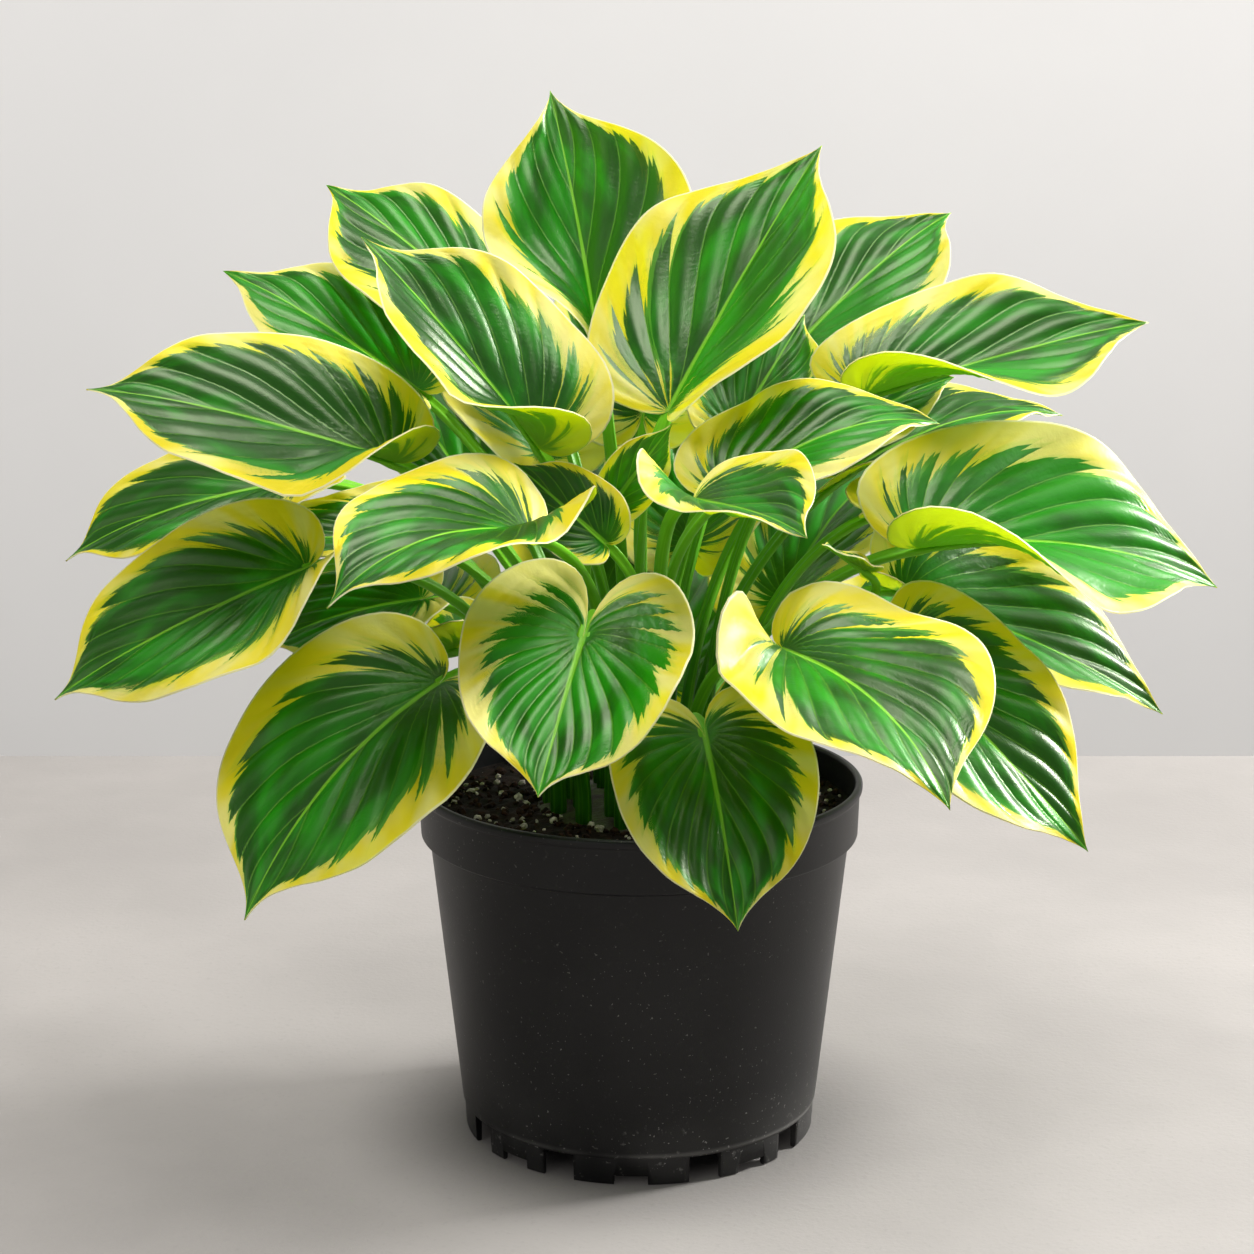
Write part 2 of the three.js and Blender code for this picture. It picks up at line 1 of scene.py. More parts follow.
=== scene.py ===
"""Potted hosta: a variegated clump in a black nursery pot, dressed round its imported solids."""

import math
import random

import bmesh
import bpy
import numpy as np
from bpy.props import FloatProperty, FloatVectorProperty, IntProperty, PointerProperty
from mathutils import Matrix, Vector, noise


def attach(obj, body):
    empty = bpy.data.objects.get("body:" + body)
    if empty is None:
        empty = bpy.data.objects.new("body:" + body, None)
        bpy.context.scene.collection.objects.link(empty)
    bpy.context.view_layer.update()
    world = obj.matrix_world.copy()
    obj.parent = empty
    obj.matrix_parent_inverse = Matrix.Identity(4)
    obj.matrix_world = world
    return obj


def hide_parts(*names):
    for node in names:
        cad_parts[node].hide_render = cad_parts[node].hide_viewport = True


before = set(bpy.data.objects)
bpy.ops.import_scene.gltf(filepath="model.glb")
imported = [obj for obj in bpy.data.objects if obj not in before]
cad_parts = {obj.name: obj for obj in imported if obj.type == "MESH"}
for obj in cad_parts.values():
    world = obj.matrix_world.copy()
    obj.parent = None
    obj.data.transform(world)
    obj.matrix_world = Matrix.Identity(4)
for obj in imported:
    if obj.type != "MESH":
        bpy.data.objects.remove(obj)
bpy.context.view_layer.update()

bl_info = {
    "name": "Potted Hosta",
    "version": (1, 0, 0),
    "blender": (4, 5, 0),
    "location": "3D View > Sidebar > Hosta",
    "description": "Models a variegated hosta in a nursery pot",
    "category": "Object",
}

MM = 0.001
ORIGIN = (0, 0, 0)
UP = Vector((0, 0, 1))

# Radii of the rings on the crown where the leaves stand, in millimetres.
CORE, INNER, MIDDLE, OUTER = 10, 22, 34, 46
# Floor of the holes that the stalks stand in, and height where a stalk begins to bend.
HOLE_FLOOR = 158
STALK_TOP = 181

# Steps round a stalk and along it, and the shares of the blade that its midrib runs under.
STALK_SIDES = 14
STALK_STEPS = 22
MIDRIB_RUN = np.linspace(0.03, 0.93, 18)
# In millimetres: half the width of a midrib's line at the base, and how far a pleat of full
# height is from the next one and from the midrib.
MIDRIB_HALF = 1.9
FULL_GAP = 11
FULL_FAR = 6

# Turns of the tall and the low drainage notches, in degrees from the front.
NOTCHES = (23.7, 58.5, 121.5, 156.3, -23.7, -58.5, -121.5, -156.3)
LOW_NOTCHES = (0, 41, 90, 139, 180, -41, -90, -139)
# How far in the notches go, and the height of the low ones.
NOTCH_DEPTH = 0.018
LOW_NOTCH_DEPTH = 0.006
LOW_NOTCH_HEIGHT = 0.005

# Underside and top of the pot's floor, and the rounding of the pot's corners.
POT_UNDER = 0.0105
POT_FLOOR = 0.013
CORNER = 0.0009
# Steps round the pot, round and up the crown, and across the soil.
POT_STEPS = 160
CROWN_STEPS = 96
CROWN_RISE_STEPS = 16
SOIL_STEPS = 130
# How far out the grains and crumbs lie, and their least and greatest radius.
SCATTER_REACH = 0.109
GRAIN_SIZES = (0.0009, 0.0034)
CRUMB_SIZES = (0.0008, 0.0032)

# Half the size of the floor and the wall, and how far under the foot the floor lies.
STAGE_REACH = 6.0
FLOOR_DROP = 0.0004
# Name, place, target, width in metres and power in watts of each lamp.
LAMPS = (
    ("key_light", (1.75, 0.6, 1.4), (0, 0, 0.25), 0.5, 134),
    ("top_light", (0.1, -0.35, 2.1), (0, 0, 0.3), 1.2, 42),
    ("fill_light", (-1.5, -1.7, 0.9), (0, 0, 0.25), 1.6, 9),
)
SKY = (0.92, 0.95, 1.0, 1)
SKY_STRENGTH = 0.3
CAMERA_PLACE = (-0.0064, -1.356, 0.568)
CAMERA_TILT = math.radians(77.4)

UV_MAPS = ("OFBake", "blade", "rib", "vein")
BLACK = (0, 0, 0)
# Where the zones of a blade begin and are full, from 0 at the midrib to 1 at the edge.
MARGIN_ZONE = (0.842, 0.852)
GREY_ZONE = (0.838, 0.848)
STAIN_ZONE = (0.85, 0.91)
# The rim zone is a painted highlight: a pale line along the edge.
EDGE_HIGHLIGHT_ZONE = (0.980, 0.992)
# Where the veins fade out towards the edge, and how far apart they are where they begin.
VEIN_END = (0.8, 0.97)
VEIN_START = (1.0, 3.5)
# Half widths of a vein's line and of its groove in millimetres, and of the midrib's line.
VEIN_LINE = (0.12, 0.42)
GROOVE_LINE = (0.0, 1.7)
MIDRIB_LINE = (0.45, 0.95)
# The underside's own paler green, and in part painted light: the lime of light shining through.
UNDER_TINT_AND_GLOW = (0.30, 0.56, 0.04)
BLADE_SHEEN = (0.9, 1.0, 0.68)
STALK_SHEEN = (0.86, 1.0, 0.72)
DARK_SOIL = (0.004, 0.003, 0.002)

# What a leaf has where its own line names nothing else. Pairs are left, right.
PLAIN_LEAF = {
    "heading": None, "arch": 0.08, "hook": 0.03, "sway": 0, "roll": 0, "fold": (12, 12),
    "curl": (0, 0), "lobes": (25, 25), "reach": 0.45, "lobe": (0.17, 0.17), "wide": 0.24,
    "skew": 0, "wave": 3, "waves": 2.5, "phase": 0, "size": 1, "bend": (0, 0, 0),
}
# What the leaves at the back have in common.
BACK = {"arch": 0.1, "hook": 0.05}


def leaf(*place, **form):
    """Number, ring and turn of the foot, joint of stalk and blade, tip, width; its own form."""
    return place, {**PLAIN_LEAF, **form}


LEAVES = [
    leaf(1, CORE, 120, (-22, 45, 407), (-47, 105, 531), 114, heading=82, wide=0.38, sway=0.01,
        arch=-0.02, hook=0.02, fold=(22, 8), lobes=(70, 45), reach=0.6, skew=0.1,
        lobe=(0.08, 0.08), phase=0.1),
    leaf(2, CORE, 290, (14, -35, 381), (91, 25, 506), 127, heading=64, wide=0.38, skew=-0.03,
        arch=0.02, hook=0, fold=(8, 24), lobes=(15, 30), reach=0.5, lobe=(0.05, 0.05)),
    leaf(3, INNER, 145, (-77, 95, 413), (-171, 150, 479), 94, roll=-30, wide=0.34, arch=0.02,
        skew=-0.1, fold=(10, 10), lobe=(0.12, 0.12), phase=0.3),
    leaf(4, CORE, 210, (-49, -60, 367), (-135, -30, 465), 110, heading=118, wide=0.3, arch=0.03,
        hook=0, fold=(36, 12), lobes=(75, 25), lobe=(0.1, 0.1), phase=0.2),
    leaf(5, MIDDLE, 152, (-119, 90, 375), (-226, 130, 434), 84, roll=-28, wide=0.3, arch=0.03,
        hook=0.03, lobe=(0.12, 0.12), phase=0.4),
    leaf(6, MIDDLE, 208, (-119, -70, 362), (-262, -75, 397), 112, roll=-36, wide=0.36, arch=0.03,
        fold=(16, 13), lobes=(70, 8), lobe=(0.11, 0.11), skew=-0.07),
    leaf(7, OUTER, 158, (-174, 24, 336), (-296, 22, 295), 82, roll=-34, arch=0.06, hook=0.04),
    leaf(8, OUTER, 206, (-159, -90, 313), (-276, -112, 255), 104, roll=-42, wide=0.3, arch=0.04,
        hook=0.03, fold=(20, 8), lobes=(40, 10), lobe=(0.12, 0.12), skew=-0.08),
    leaf(9, OUTER, 232, (-94, -120, 265), (-180, -180, 169), 120, heading=250, wide=0.32,
        arch=0.06, hook=0, sway=0.05, skew=0.01, fold=(8, 6), lobes=(10, 10), lobe=(0.1, 0.1)),
    leaf(10, MIDDLE, 246, (-52, -130, 338), (-137, -200, 318), 102, roll=-12, arch=0.11, hook=0.06,
        lobes=(50, 25)),
    leaf(11, OUTER, 259, (-26, -162, 297), (-45, -225, 240), 108, heading=262, arch=0.02, hook=0,
        fold=(4, 4), curl=(20, 20), lobes=(0, 0), skew=-0.02, lobe=(0.44, 0.48), wide=0.14),
    leaf(12, INNER, 300, (40, -80, 348), (143, -65, 379), 84, roll=22, arch=0.09, hook=0.08,
        lobes=(35, 35), lobe=(0.12, 0.12)),
    leaf(13, MIDDLE, 284, (24, -130, 353), (71, -205, 350), 80, roll=10, arch=0.02, hook=0.05,
        fold=(22, 20), lobes=(10, 42), lobe=(0.05, 0.18), bend=(5, -8, 0)),
    leaf(14, INNER, 50, (83, 110, 393), (173, 165, 463), 98, roll=24, wide=0.3, arch=0.04,
        skew=0.08),
    leaf(15, MIDDLE, 12, (115, 20, 381), (261, 40, 416), 114, roll=30, wide=0.38, sway=0.01,
        arch=0.015, skew=0.09, fold=(14, 16), lobes=(15, 55), reach=0.75, lobe=(0.15, 0.08)),
    leaf(16, INNER, 12, (94, 54, 352), (166, 70, 384), 66, roll=38, arch=0.04, fold=(14, 20)),
    leaf(17, MIDDLE, 42, (114, 95, 330), (233, 130, 355), 76, roll=15, hook=0.05,
        bend=(4, -20, 6)),
    leaf(18, MIDDLE, 338, (137, -50, 316), (289, -22, 290), 132, roll=36, wide=0.36, skew=-0.06,
        sway=-0.03, arch=0.06, fold=(12, 16), lobes=(12, 60), reach=0.7, lobe=(0.16, 0.12)),
    leaf(19, OUTER, 2, (136, 10, 281), (269, 0, 219), 108, roll=30, arch=0.03, hook=0.04,
        fold=(12, 24)),
    leaf(20, OUTER, 331, (126, -70, 269), (213, -115, 181), 100, roll=26, arch=0.06, sway=0.05,
        hook=0.04),
    leaf(21, OUTER, 299, (66, -140, 285), (132, -235, 237), 122, heading=285, hook=0.05,
        fold=(8, 8), lobes=(22, 70), lobe=(0.17, 0.08), reach=0.32, wide=0.3, skew=-0.05,
        sway=-0.03),
    leaf(22, OUTER, 281, (30, -122, 240), (44, -178, 163), 99, heading=278, arch=0.06, hook=0,
        lobes=(0, 0), lobe=(0.24, 0.24), wide=0.18, skew=0.02),
    leaf(23, INNER, 240, (-17, -62, 334), (15, -81, 381), 30, heading=80, arch=-0.05, hook=0,
        size=0.75, wave=1, lobe=(0.03, 0.03), wide=0.4),
    leaf(24, INNER, 264, (-17, -80, 324), (-60, -76, 362), 46, heading=100, arch=0, hook=0,
        fold=(20, 20), size=0.8, wave=2, lobe=(0.1, 0.1)),
    leaf(25, OUTER, 180, (-112, 0, 279), (-191, -10, 255), 80, roll=-30, arch=0.06, hook=0.05),
    leaf(26, MIDDLE, 318, (107, -86, 312), (85, -98, 327), 26, heading=200, arch=0, hook=0,
        size=0.7, wave=1),
    leaf(27, CORE, 40, (49, 40, 360), (87, 76, 416), 72, heading=80, arch=0, hook=0, size=0.85),
    leaf(28, MIDDLE, 72, (28, 112, 288), (52, 208, 362), 106, **BACK),
    leaf(29, MIDDLE, 100, (-20, 114, 254), (-40, 212, 324), 102, **BACK),
    leaf(30, MIDDLE, 126, (-88, 112, 304), (-160, 200, 362), 100, **BACK),
    leaf(31, OUTER, 56, (80, 113, 255), (160, 211, 315), 106, **BACK),
    leaf(32, OUTER, 136, (-112, 105, 250), (-205, 190, 232), 106, **BACK),
    leaf(33, OUTER, 80, (18, 122, 206), (33, 230, 258), 112, **BACK),
    leaf(34, OUTER, 33, (122, 84, 240), (222, 160, 228), 104, **BACK),
    leaf(36, INNER, 85, (2, 94, 362), (14, 188, 446), 108, **BACK),
    leaf(38, MIDDLE, 180, (-114, -8, 311), (-204, -18, 301), 74, roll=-20),
    leaf(39, OUTER, 17, (128, 50, 316), (214, 76, 304), 62, roll=14),
    leaf(35, OUTER, 169, (-98, 30, 246), (-172, 46, 174), 88, arch=0.1, bend=(0, -3, 0)),
    leaf(37, INNER, 115, (-54, 104, 340), (-94, 200, 402), 106, **BACK),
]


def tone(red, green, blue):
    """A screen colour, 0 to 255, as the light values that shaders use."""
    found = []
    for value in (red, green, blue):
        share = value / 255
        found.append(share / 12.92 if share <= 0.04045 else ((share + 0.055) / 1.055) ** 2.4)
    return tuple(found)


def length(label, about, default):
    return FloatProperty(
        name=label, description=about, default=default, unit="LENGTH", precision=4
    )


def angle(label, about, default, low=-math.pi):
    return FloatProperty(
        name=label, description=about, default=default, min=low, max=math.pi, subtype="ANGLE"
    )


def colour(label, about, *default):
    return FloatVectorProperty(
        name=label, description=about, default=tone(*default), size=3, subtype="COLOR",
        min=0, max=1,
    )


class PotSettings(bpy.types.PropertyGroup):
    """Sizes and colours of the pot."""

    height: length("Height", "Foot to lip", 0.186)
    rim_radius: length("Rim Radius", "Outside of the lip", 0.115)
    band_height: length("Band Height", "Wide band under the lip", 0.0276)
    band_radius: length("Band Radius", "Outside of the band at its foot", 0.1128)
    body_radius: length("Body Radius", "Outside of the body under the band", 0.1084)
    foot_radius: length("Foot Radius", "Outside of the foot", 0.0914)
    wall: length("Wall", "Thickness of the wall", 0.002)
    foot_step: length("Foot Step", "Height of the line above the foot", 0.015)
    notch_width: length("Notch Width", "Width of a drainage notch", 0.017)
    notch_height: length("Notch Height", "Height of a tall drainage notch", 0.014)
    notch_turn: angle("Notch Turn", "Turn of all notches from the front", math.radians(-2.8))
    plastic: colour("Plastic", "Moulded plastic", 5, 5, 6)
    dust: colour("Dust", "Pale specks and scuffs", 150, 148, 143)


class SoilSettings(bpy.types.PropertyGroup):
    """Sizes and colours of the soil and the crown."""

    level: length("Level", "Height of the soil", 0.171)
    crown_radius: length("Crown Radius", "Radius of the crown", 0.054)
    crown_rise: length("Crown Rise", "Height of the crown over the soil", 0.007)
    grains: IntProperty(name="Grains", description="Pale grains on the soil", default=260)
    crumbs: IntProperty(name="Crumbs", description="Dark crumbs on the soil", default=900)
    mix: colour("Mix", "Moist potting mix", 36, 23, 15)
    grain: colour("Grain", "Pale mineral grains", 214, 203, 187)
    crumb: colour("Crumb", "Bark crumbs", 52, 31, 18)
    crown: colour("Crown", "Fleshy crown", 58, 70, 26)


class LeafSettings(bpy.types.PropertyGroup):
    """Sizes and colours of the leaves."""

    rows: IntProperty(name="Rows", description="Steps from base to tip", default=46, min=8)
    columns: IntProperty(name="Columns", description="Steps out to the edge", default=48, min=9)
    vein_step: angle("Vein Step", "Turn from one vein to the next at the base", 0.36, 0.05)
    vein_lean: angle("Vein Lean", "How far the veins run out on their way", 1.25, 0)
    pleat_height: length("Pleat Height", "Rise of a pleat between two veins", 0.0021)
    thickness: length("Thickness", "Thickness of the blade", 0.0007)
    stalk_radius: length("Stalk Radius", "Half the width of a stalk", 0.0034)
    foot_radius: length("Foot Radius", "Half the width of a stalk's foot", 0.0042)
    # Painted shade and painted light: shaded and lit copies of the blade's green.
    green_shaded: colour("Deep Green", "Middle of the blade, in shade", 0, 58, 0)
    green_lit: colour("Fresh Green", "Middle of the blade, in light", 12, 128, 0)
    # Painted shade: dark green along the sunken veins.
    shaded_groove: colour("Groove", "Along the sunken veins", 0, 50, 4)
    green_grey: colour("Grey Green", "Patches between middle and margin", 96, 160, 44)
    vein: colour("Vein", "Veins and midrib", 132, 200, 44)
    yellow: colour("Yellow", "Margin", 255, 230, 26)
    # Painted highlight: pale cream where the margin looks lit.
    cream_highlight: colour("Cream", "Pale parts of the margin", 255, 244, 158)
    # Painted highlight: the pale line along the edge of a blade.
    rim: colour("Rim", "Thin line at the edge of a blade", 255, 252, 222)
    lime: colour("Lime", "Light that comes through the green", 150, 214, 14)
    gold: colour("Gold", "Light that comes through the margin", 255, 230, 60)
    stalk: colour("Stalk", "Stalk in light", 112, 184, 26)
    # Painted shade: the stalk's shaded copy, for near the crown.
    stalk_shaded: colour("Deep Stalk", "Stalk near the crown", 40, 108, 10)
    through: FloatProperty(
        name="Through", description="Share of light that goes through a blade", default=0.24,
        min=0, max=1, subtype="FACTOR",
    )


class StageSettings(bpy.types.PropertyGroup):
    """Floor, wall, light and camera."""

    lens: FloatProperty(name="Lens", description="Focal length", default=78.2, unit="CAMERA")
    wall_distance: length("Wall Distance", "From the pot to the wall behind it", 0.72)
    floor: colour("Floor", "Pale floor", 120, 116, 112)
    wall: colour("Wall", "Pale wall", 166, 164, 162)


class Amount:
    """A number that varies over a surface, so that shader sums read as sums."""

    def __init__(self, recipe, socket):
        self.recipe = recipe
        self.socket = socket

    def math(self, operation, *others):
        values = dict(enumerate((self, *others)))
        return self.recipe.amount("Math", values, operation=operation)

    def __add__(self, other):
        return self.math("ADD", other)

    def __sub__(self, other):
        return self.math("SUBTRACT", other)

    def __rsub__(self, other):
        return self.recipe.amount("Math", {0: other, 1: self}, operation="SUBTRACT")

    def __mul__(self, other):
        return self.math("MULTIPLY", other)

    def __abs__(self):
        return self.math("ABSOLUTE")

    def fraction(self):
        return self.math("FRACT")

    def step(self, low, high):
        """0 below low, 1 above high, and smooth between them."""
        ends = {0: self, 1: low, 2: high, 3: 0, 4: 1}
        return self.recipe.amount("MapRange", ends, interpolation_type="SMOOTHSTEP")


class Recipe:
    """The nodes of one material."""

    def __init__(self, name):
        self.material = bpy.data.materials.new(name)
        self.material.use_nodes = True
        self.tree = self.material.node_tree
        self.tree.nodes.clear()

    def feed(self, socket, value):
        if isinstance(value, Amount):
            value = value.socket
        if isinstance(value, bpy.types.NodeSocket):
            self.tree.links.new(value, socket)
        elif socket.type == "RGBA":
            socket.default_value = (*value, 1)
        else:
            socket.default_value = value

    def node(self, kind, inputs, out=0, **settings):
        """One output of a new node."""
        made = self.tree.nodes.new("ShaderNode" + kind)
        for key, value in settings.items():
            setattr(made, key, value)
        for key, value in inputs.items():
            self.feed(made.inputs[key], value)
        return made.outputs[out]

    def amount(self, kind, inputs, out=0, **settings):
        return Amount(self, self.node(kind, inputs, out, **settings))

    def place(self):
        return self.node("TexCoord", {}, "Object")

    def parts(self, vector):
        outs = self.node("SeparateXYZ", {0: vector}).node.outputs
        return [Amount(self, out) for out in outs]

    def map(self, name):
        """The two numbers of a UV map."""
        return self.parts(self.node("UVMap", {}, uv_map=name))[:2]

    def vector(self, x, y, z):
        return self.node("CombineXYZ", {0: x, 1: y, 2: z})

    def noise(self, vector, scale, detail=2.0, roughness=0.5):
        return self.amount("TexNoise", {
            "Vector": vector, "Scale": scale, "Detail": detail, "Roughness": roughness,
        })

    def weave(self, x, y, z, detail=2.0):
        """Noise over three numbers that the piece carries."""
        return self.noise(self.vector(x, y, z), 1.0, detail)

    def chance(self, x, y, z):
        """A throw between 0 and 1, the same where the three numbers are the same."""
        return self.amount("TexWhiteNoise", {"Vector": self.vector(x, y, z)}, "Value")

    def layers(self, colour, *more):
        """A colour with others laid over it in turn, each by its share."""
        for share, over in more:
            colour = self.node("Mix", {0: share, 6: colour, 7: over}, 2, data_type="RGBA")
        return colour

    def surface(self, colour, roughness, relief, shine=0.5, more=None):
        """A surface. Its relief is a height, a strength and a distance."""
        bump = dict(zip(("Height", "Strength", "Distance"), relief))
        return self.node("BsdfPrincipled", {
            "Base Color": colour, "Roughness": roughness, "Specular IOR Level": shine,
            "Normal": self.node("Bump", bump), **(more or {}),
        })

    def behind(self, colour):
        """Light that comes through from behind."""
        return self.node("BsdfTranslucent", {"Color": colour})

    def mix(self, share, first, second):
        """Two shaders, with this share of the second."""
        return self.node("MixShader", {0: share, 1: first, 2: second})

    def finish(self, shader):
        output = self.tree.nodes.new("ShaderNodeOutputMaterial")
        self.tree.links.new(shader, output.inputs["Surface"])
        return self.material


def blade_material(name, look, under):
    """Green middle with fingers along the veins, yellow margin. The underside is paler, and its
    lime is partly painted light shining through.
    """
    recipe = Recipe(name)
    across, along = recipe.map("blade")
    rib, seed = recipe.map("rib")
    course, spacing = recipe.map("vein")
    cell, half = course.math("FLOOR"), seed * 2
    gap = abs((course + 0.5).fraction() - 0.5) * spacing
    luck = recipe.chance(cell, half, 0.5)
    grey_luck = recipe.chance(cell, half, 7.5)
    small = course * 3.3 + luck * 3
    small_luck = recipe.chance(small.math("FLOOR"), half, 3.5)
    drift = recipe.weave(across * 0.8, along * 3.2, seed * 9.7, 1.0)
    tooth = recipe.weave(course * 5.0, along * 12, seed * 3.3)
    own = recipe.weave(seed * 13.7, 0.3, 0.7, 0.0) - 0.5
    reach = across + course.fraction() * (luck * 0.16 + 0.05) + (small_luck - 0.5) * 0.05
    reach = reach + small.fraction() * 0.05 + (drift - 0.5) * 0.30 + (tooth - 0.5) * 0.07
    reach = reach + own * 0.12 - (1 - spacing.step(0.5, 7.0)) * 0.15
    margin = reach.step(*MARGIN_ZONE)
    near = (reach + grey_luck * 0.2 - 0.12).step(*GREY_ZONE) * (1 - margin)
    stain = (reach + (grey_luck - 0.5) * 0.1).step(*STAIN_ZONE)

    # Painted light and shade: noise and each leaf's own tone mottle the green between its shaded
    # and lit copies.
    shade = recipe.weave(across * 3.2, along * 3.0, seed * 1.7, 3.0)
    light = (shade + own * 0.6).step(0.36, 0.68)
    green = recipe.layers(
        look.green_shaded, (light, look.green_lit), (near * 0.6, look.green_grey),
    )
    # Painted highlight: glow noise lays pale cream over the yellow margin, as where light falls on
    # it.
    glow = recipe.weave(course * 0.9, along * 4, seed * 4.9) + own * 0.4
    yellow = recipe.layers(
        look.yellow, (glow.step(0.38, 0.66) * 0.85, look.cream_highlight), ((1 - stain) * 0.3, look.vein),
    )

    fade = (1 - across.step(*VEIN_END)) * spacing.step(*VEIN_START)
    vein = (1 - gap.step(*VEIN_LINE)) * fade
    # Painted shade: this band darkens the sunken veins; it also sinks the bump there.
    shaded_groove = (1 - gap.step(*GROOVE_LINE)) * fade
    midrib = 1 - rib.step(*MIDRIB_LINE)
    # The rim colour along the edge is a painted highlight.
    flesh = recipe.layers(
        green, (margin, yellow), (shaded_groove * 0.5 * (1 - margin), look.shaded_groove),
        (vein * (0.3 - margin * 0.2), look.vein), (midrib * 0.85, look.vein),
        (across.step(*EDGE_HIGHLIGHT_ZONE) * 0.8, look.rim), (0.64 if under else 0, UNDER_TINT_AND_GLOW),
    )

    fine = recipe.weave(course * 4, along * 90, seed * 6.1)
    grain = recipe.noise(recipe.place(), 900.0)
    height = fine * 0.6 + grain * 0.3 - shaded_groove * 0.5 - midrib * 0.3
    rough = shade * 0.16 + margin * 0.08 + (0.46 if under else 0.27)
    shine = 0.22 if under else 0.58
    relief = (height, 0.34, 0.0006)
    face = recipe.surface(flesh, rough, relief, shine, {"Specular Tint": BLADE_SHEEN})
    golden = margin * (0.2 if under else 1)
    through = recipe.mix(golden, recipe.behind(look.lime), recipe.behind(look.gold))
    share = margin * 0.24 + (look.through + (0.26 if under else 0))
    return recipe.finish(recipe.mix(share, face, through))


def stalk_material(look):
    """Fleshy green with pale lines along it, with painted shade darkening it towards the crown."""
    recipe = Recipe("leaf_stalk")
    around, along = recipe.map("blade")
    _, seed = recipe.map("rib")
    lines = recipe.weave(around * 22, along * 1.5, seed * 3.1)
    patch = recipe.weave(around * 2, along * 5, seed * 7.7)
    # Painted shade: the lit stalk colour fades to its shaded copy towards the crown, with patches
    # of the blade's shaded green.
    flesh = recipe.layers(
        look.stalk_shaded, (along.step(0.05, 0.75), look.stalk),
        (lines.step(0.48, 0.66) * 0.5, look.vein), (patch.step(0.5, 0.75) * 0.3, look.green_shaded),
    )
    sheen = {"Specular Tint": STALK_SHEEN}
    face = recipe.surface(flesh, lines * 0.2 + 0.3, (lines, 0.3, 0.0004), 0.32, sheen)
    return recipe.finish(recipe.mix(0.26, face, recipe.behind(look.lime)))


def pot_material(look):
    """Moulded black plastic with pale dust, most of it near the foot."""
    recipe = Recipe("pot_plastic")
    place = recipe.place()
    x, y, z = recipe.parts(place)
    cloud = recipe.noise(place, 16.0, 3.0)
    rub = recipe.noise(recipe.vector(x * 60, y * 60, z * 900), 1.0, 3.0, 0.6)
    speck = recipe.noise(place, 620.0, 1.0)
    flake = recipe.noise(place, 210.0, 3.0, 0.65)
    pebble = recipe.noise(place, 1500.0)
    low = 1 - z.step(0.0, 0.05)
    specks = speck.step(0.72, 0.75) * (low * 0.6 + 0.3) * cloud.step(0.3, 0.6)
    scuff = flake.step(0.62, 0.74) * (low * 0.6 + 0.06)
    haze = (low * 0.10 + 0.02) * cloud.step(0.3, 0.75)
    step = look.foot_step
    line = z.step(step - 0.001, step + 0.0002) * (1 - z.step(step + 0.0008, step + 0.003))
    shares = (haze, scuff * 0.5, specks, line * cloud.step(0.3, 0.7) * 0.3)
    flesh = recipe.layers(look.plastic, *((share, look.dust) for share in shares))
    relief = (pebble * 0.6 + rub * 0.4, 0.22, 0.0003)
    return recipe.finish(recipe.surface(flesh, cloud * 0.16 + scuff * 0.3 + 0.36, relief, 0.3))


def soil_material(look):
    """Dark lumps with pale fibres."""
    recipe = Recipe("soil_mix")
    place = recipe.place()
    lumps = recipe.noise(place, 150.0, 5.0, 0.65)
    fibre = recipe.noise(place, 700.0, 4.0, 0.7)
    flesh = recipe.layers(
        DARK_SOIL, (lumps.step(0.35, 0.7), look.mix), (fibre.step(0.6, 0.75) * 0.6, look.crumb),
    )
    relief = (lumps * 0.7 + fibre * 0.3, 0.9, 0.0016)
    return recipe.finish(recipe.surface(flesh, fibre * 0.2 + 0.72, relief, 0.12))


def loose_material(name, light, dark):
    """Grains or crumbs: two tones, pitted."""
    recipe = Recipe(name)
    place = recipe.place()
    patch = recipe.noise(place, 260.0)
    pits = recipe.noise(place, 1400.0, 3.0)
    deep = (1 - pits.step(0.3, 0.5)) * 0.4
    flesh = recipe.layers(dark, (patch.step(0.38, 0.62), light), (deep, dark))
    return recipe.finish(recipe.surface(flesh, pits * 0.2 + 0.7, (pits, 0.7, 0.0005), 0.15))


def crown_material(look):
    """Fleshy rings with soil in the hollows."""
    recipe = Recipe("crown_flesh")
    place = recipe.place()
    rings = recipe.noise(place, 90.0, 4.0, 0.6)
    fine = recipe.noise(place, 500.0, 3.0)
    flesh = recipe.layers(
        look.mix, (rings.step(0.35, 0.65), look.crown), (fine.step(0.55, 0.75) * 0.4, look.crumb),
    )
    relief = (rings * 0.6 + fine * 0.4, 0.8, 0.002)
    return recipe.finish(recipe.surface(flesh, fine * 0.2 + 0.55, relief))


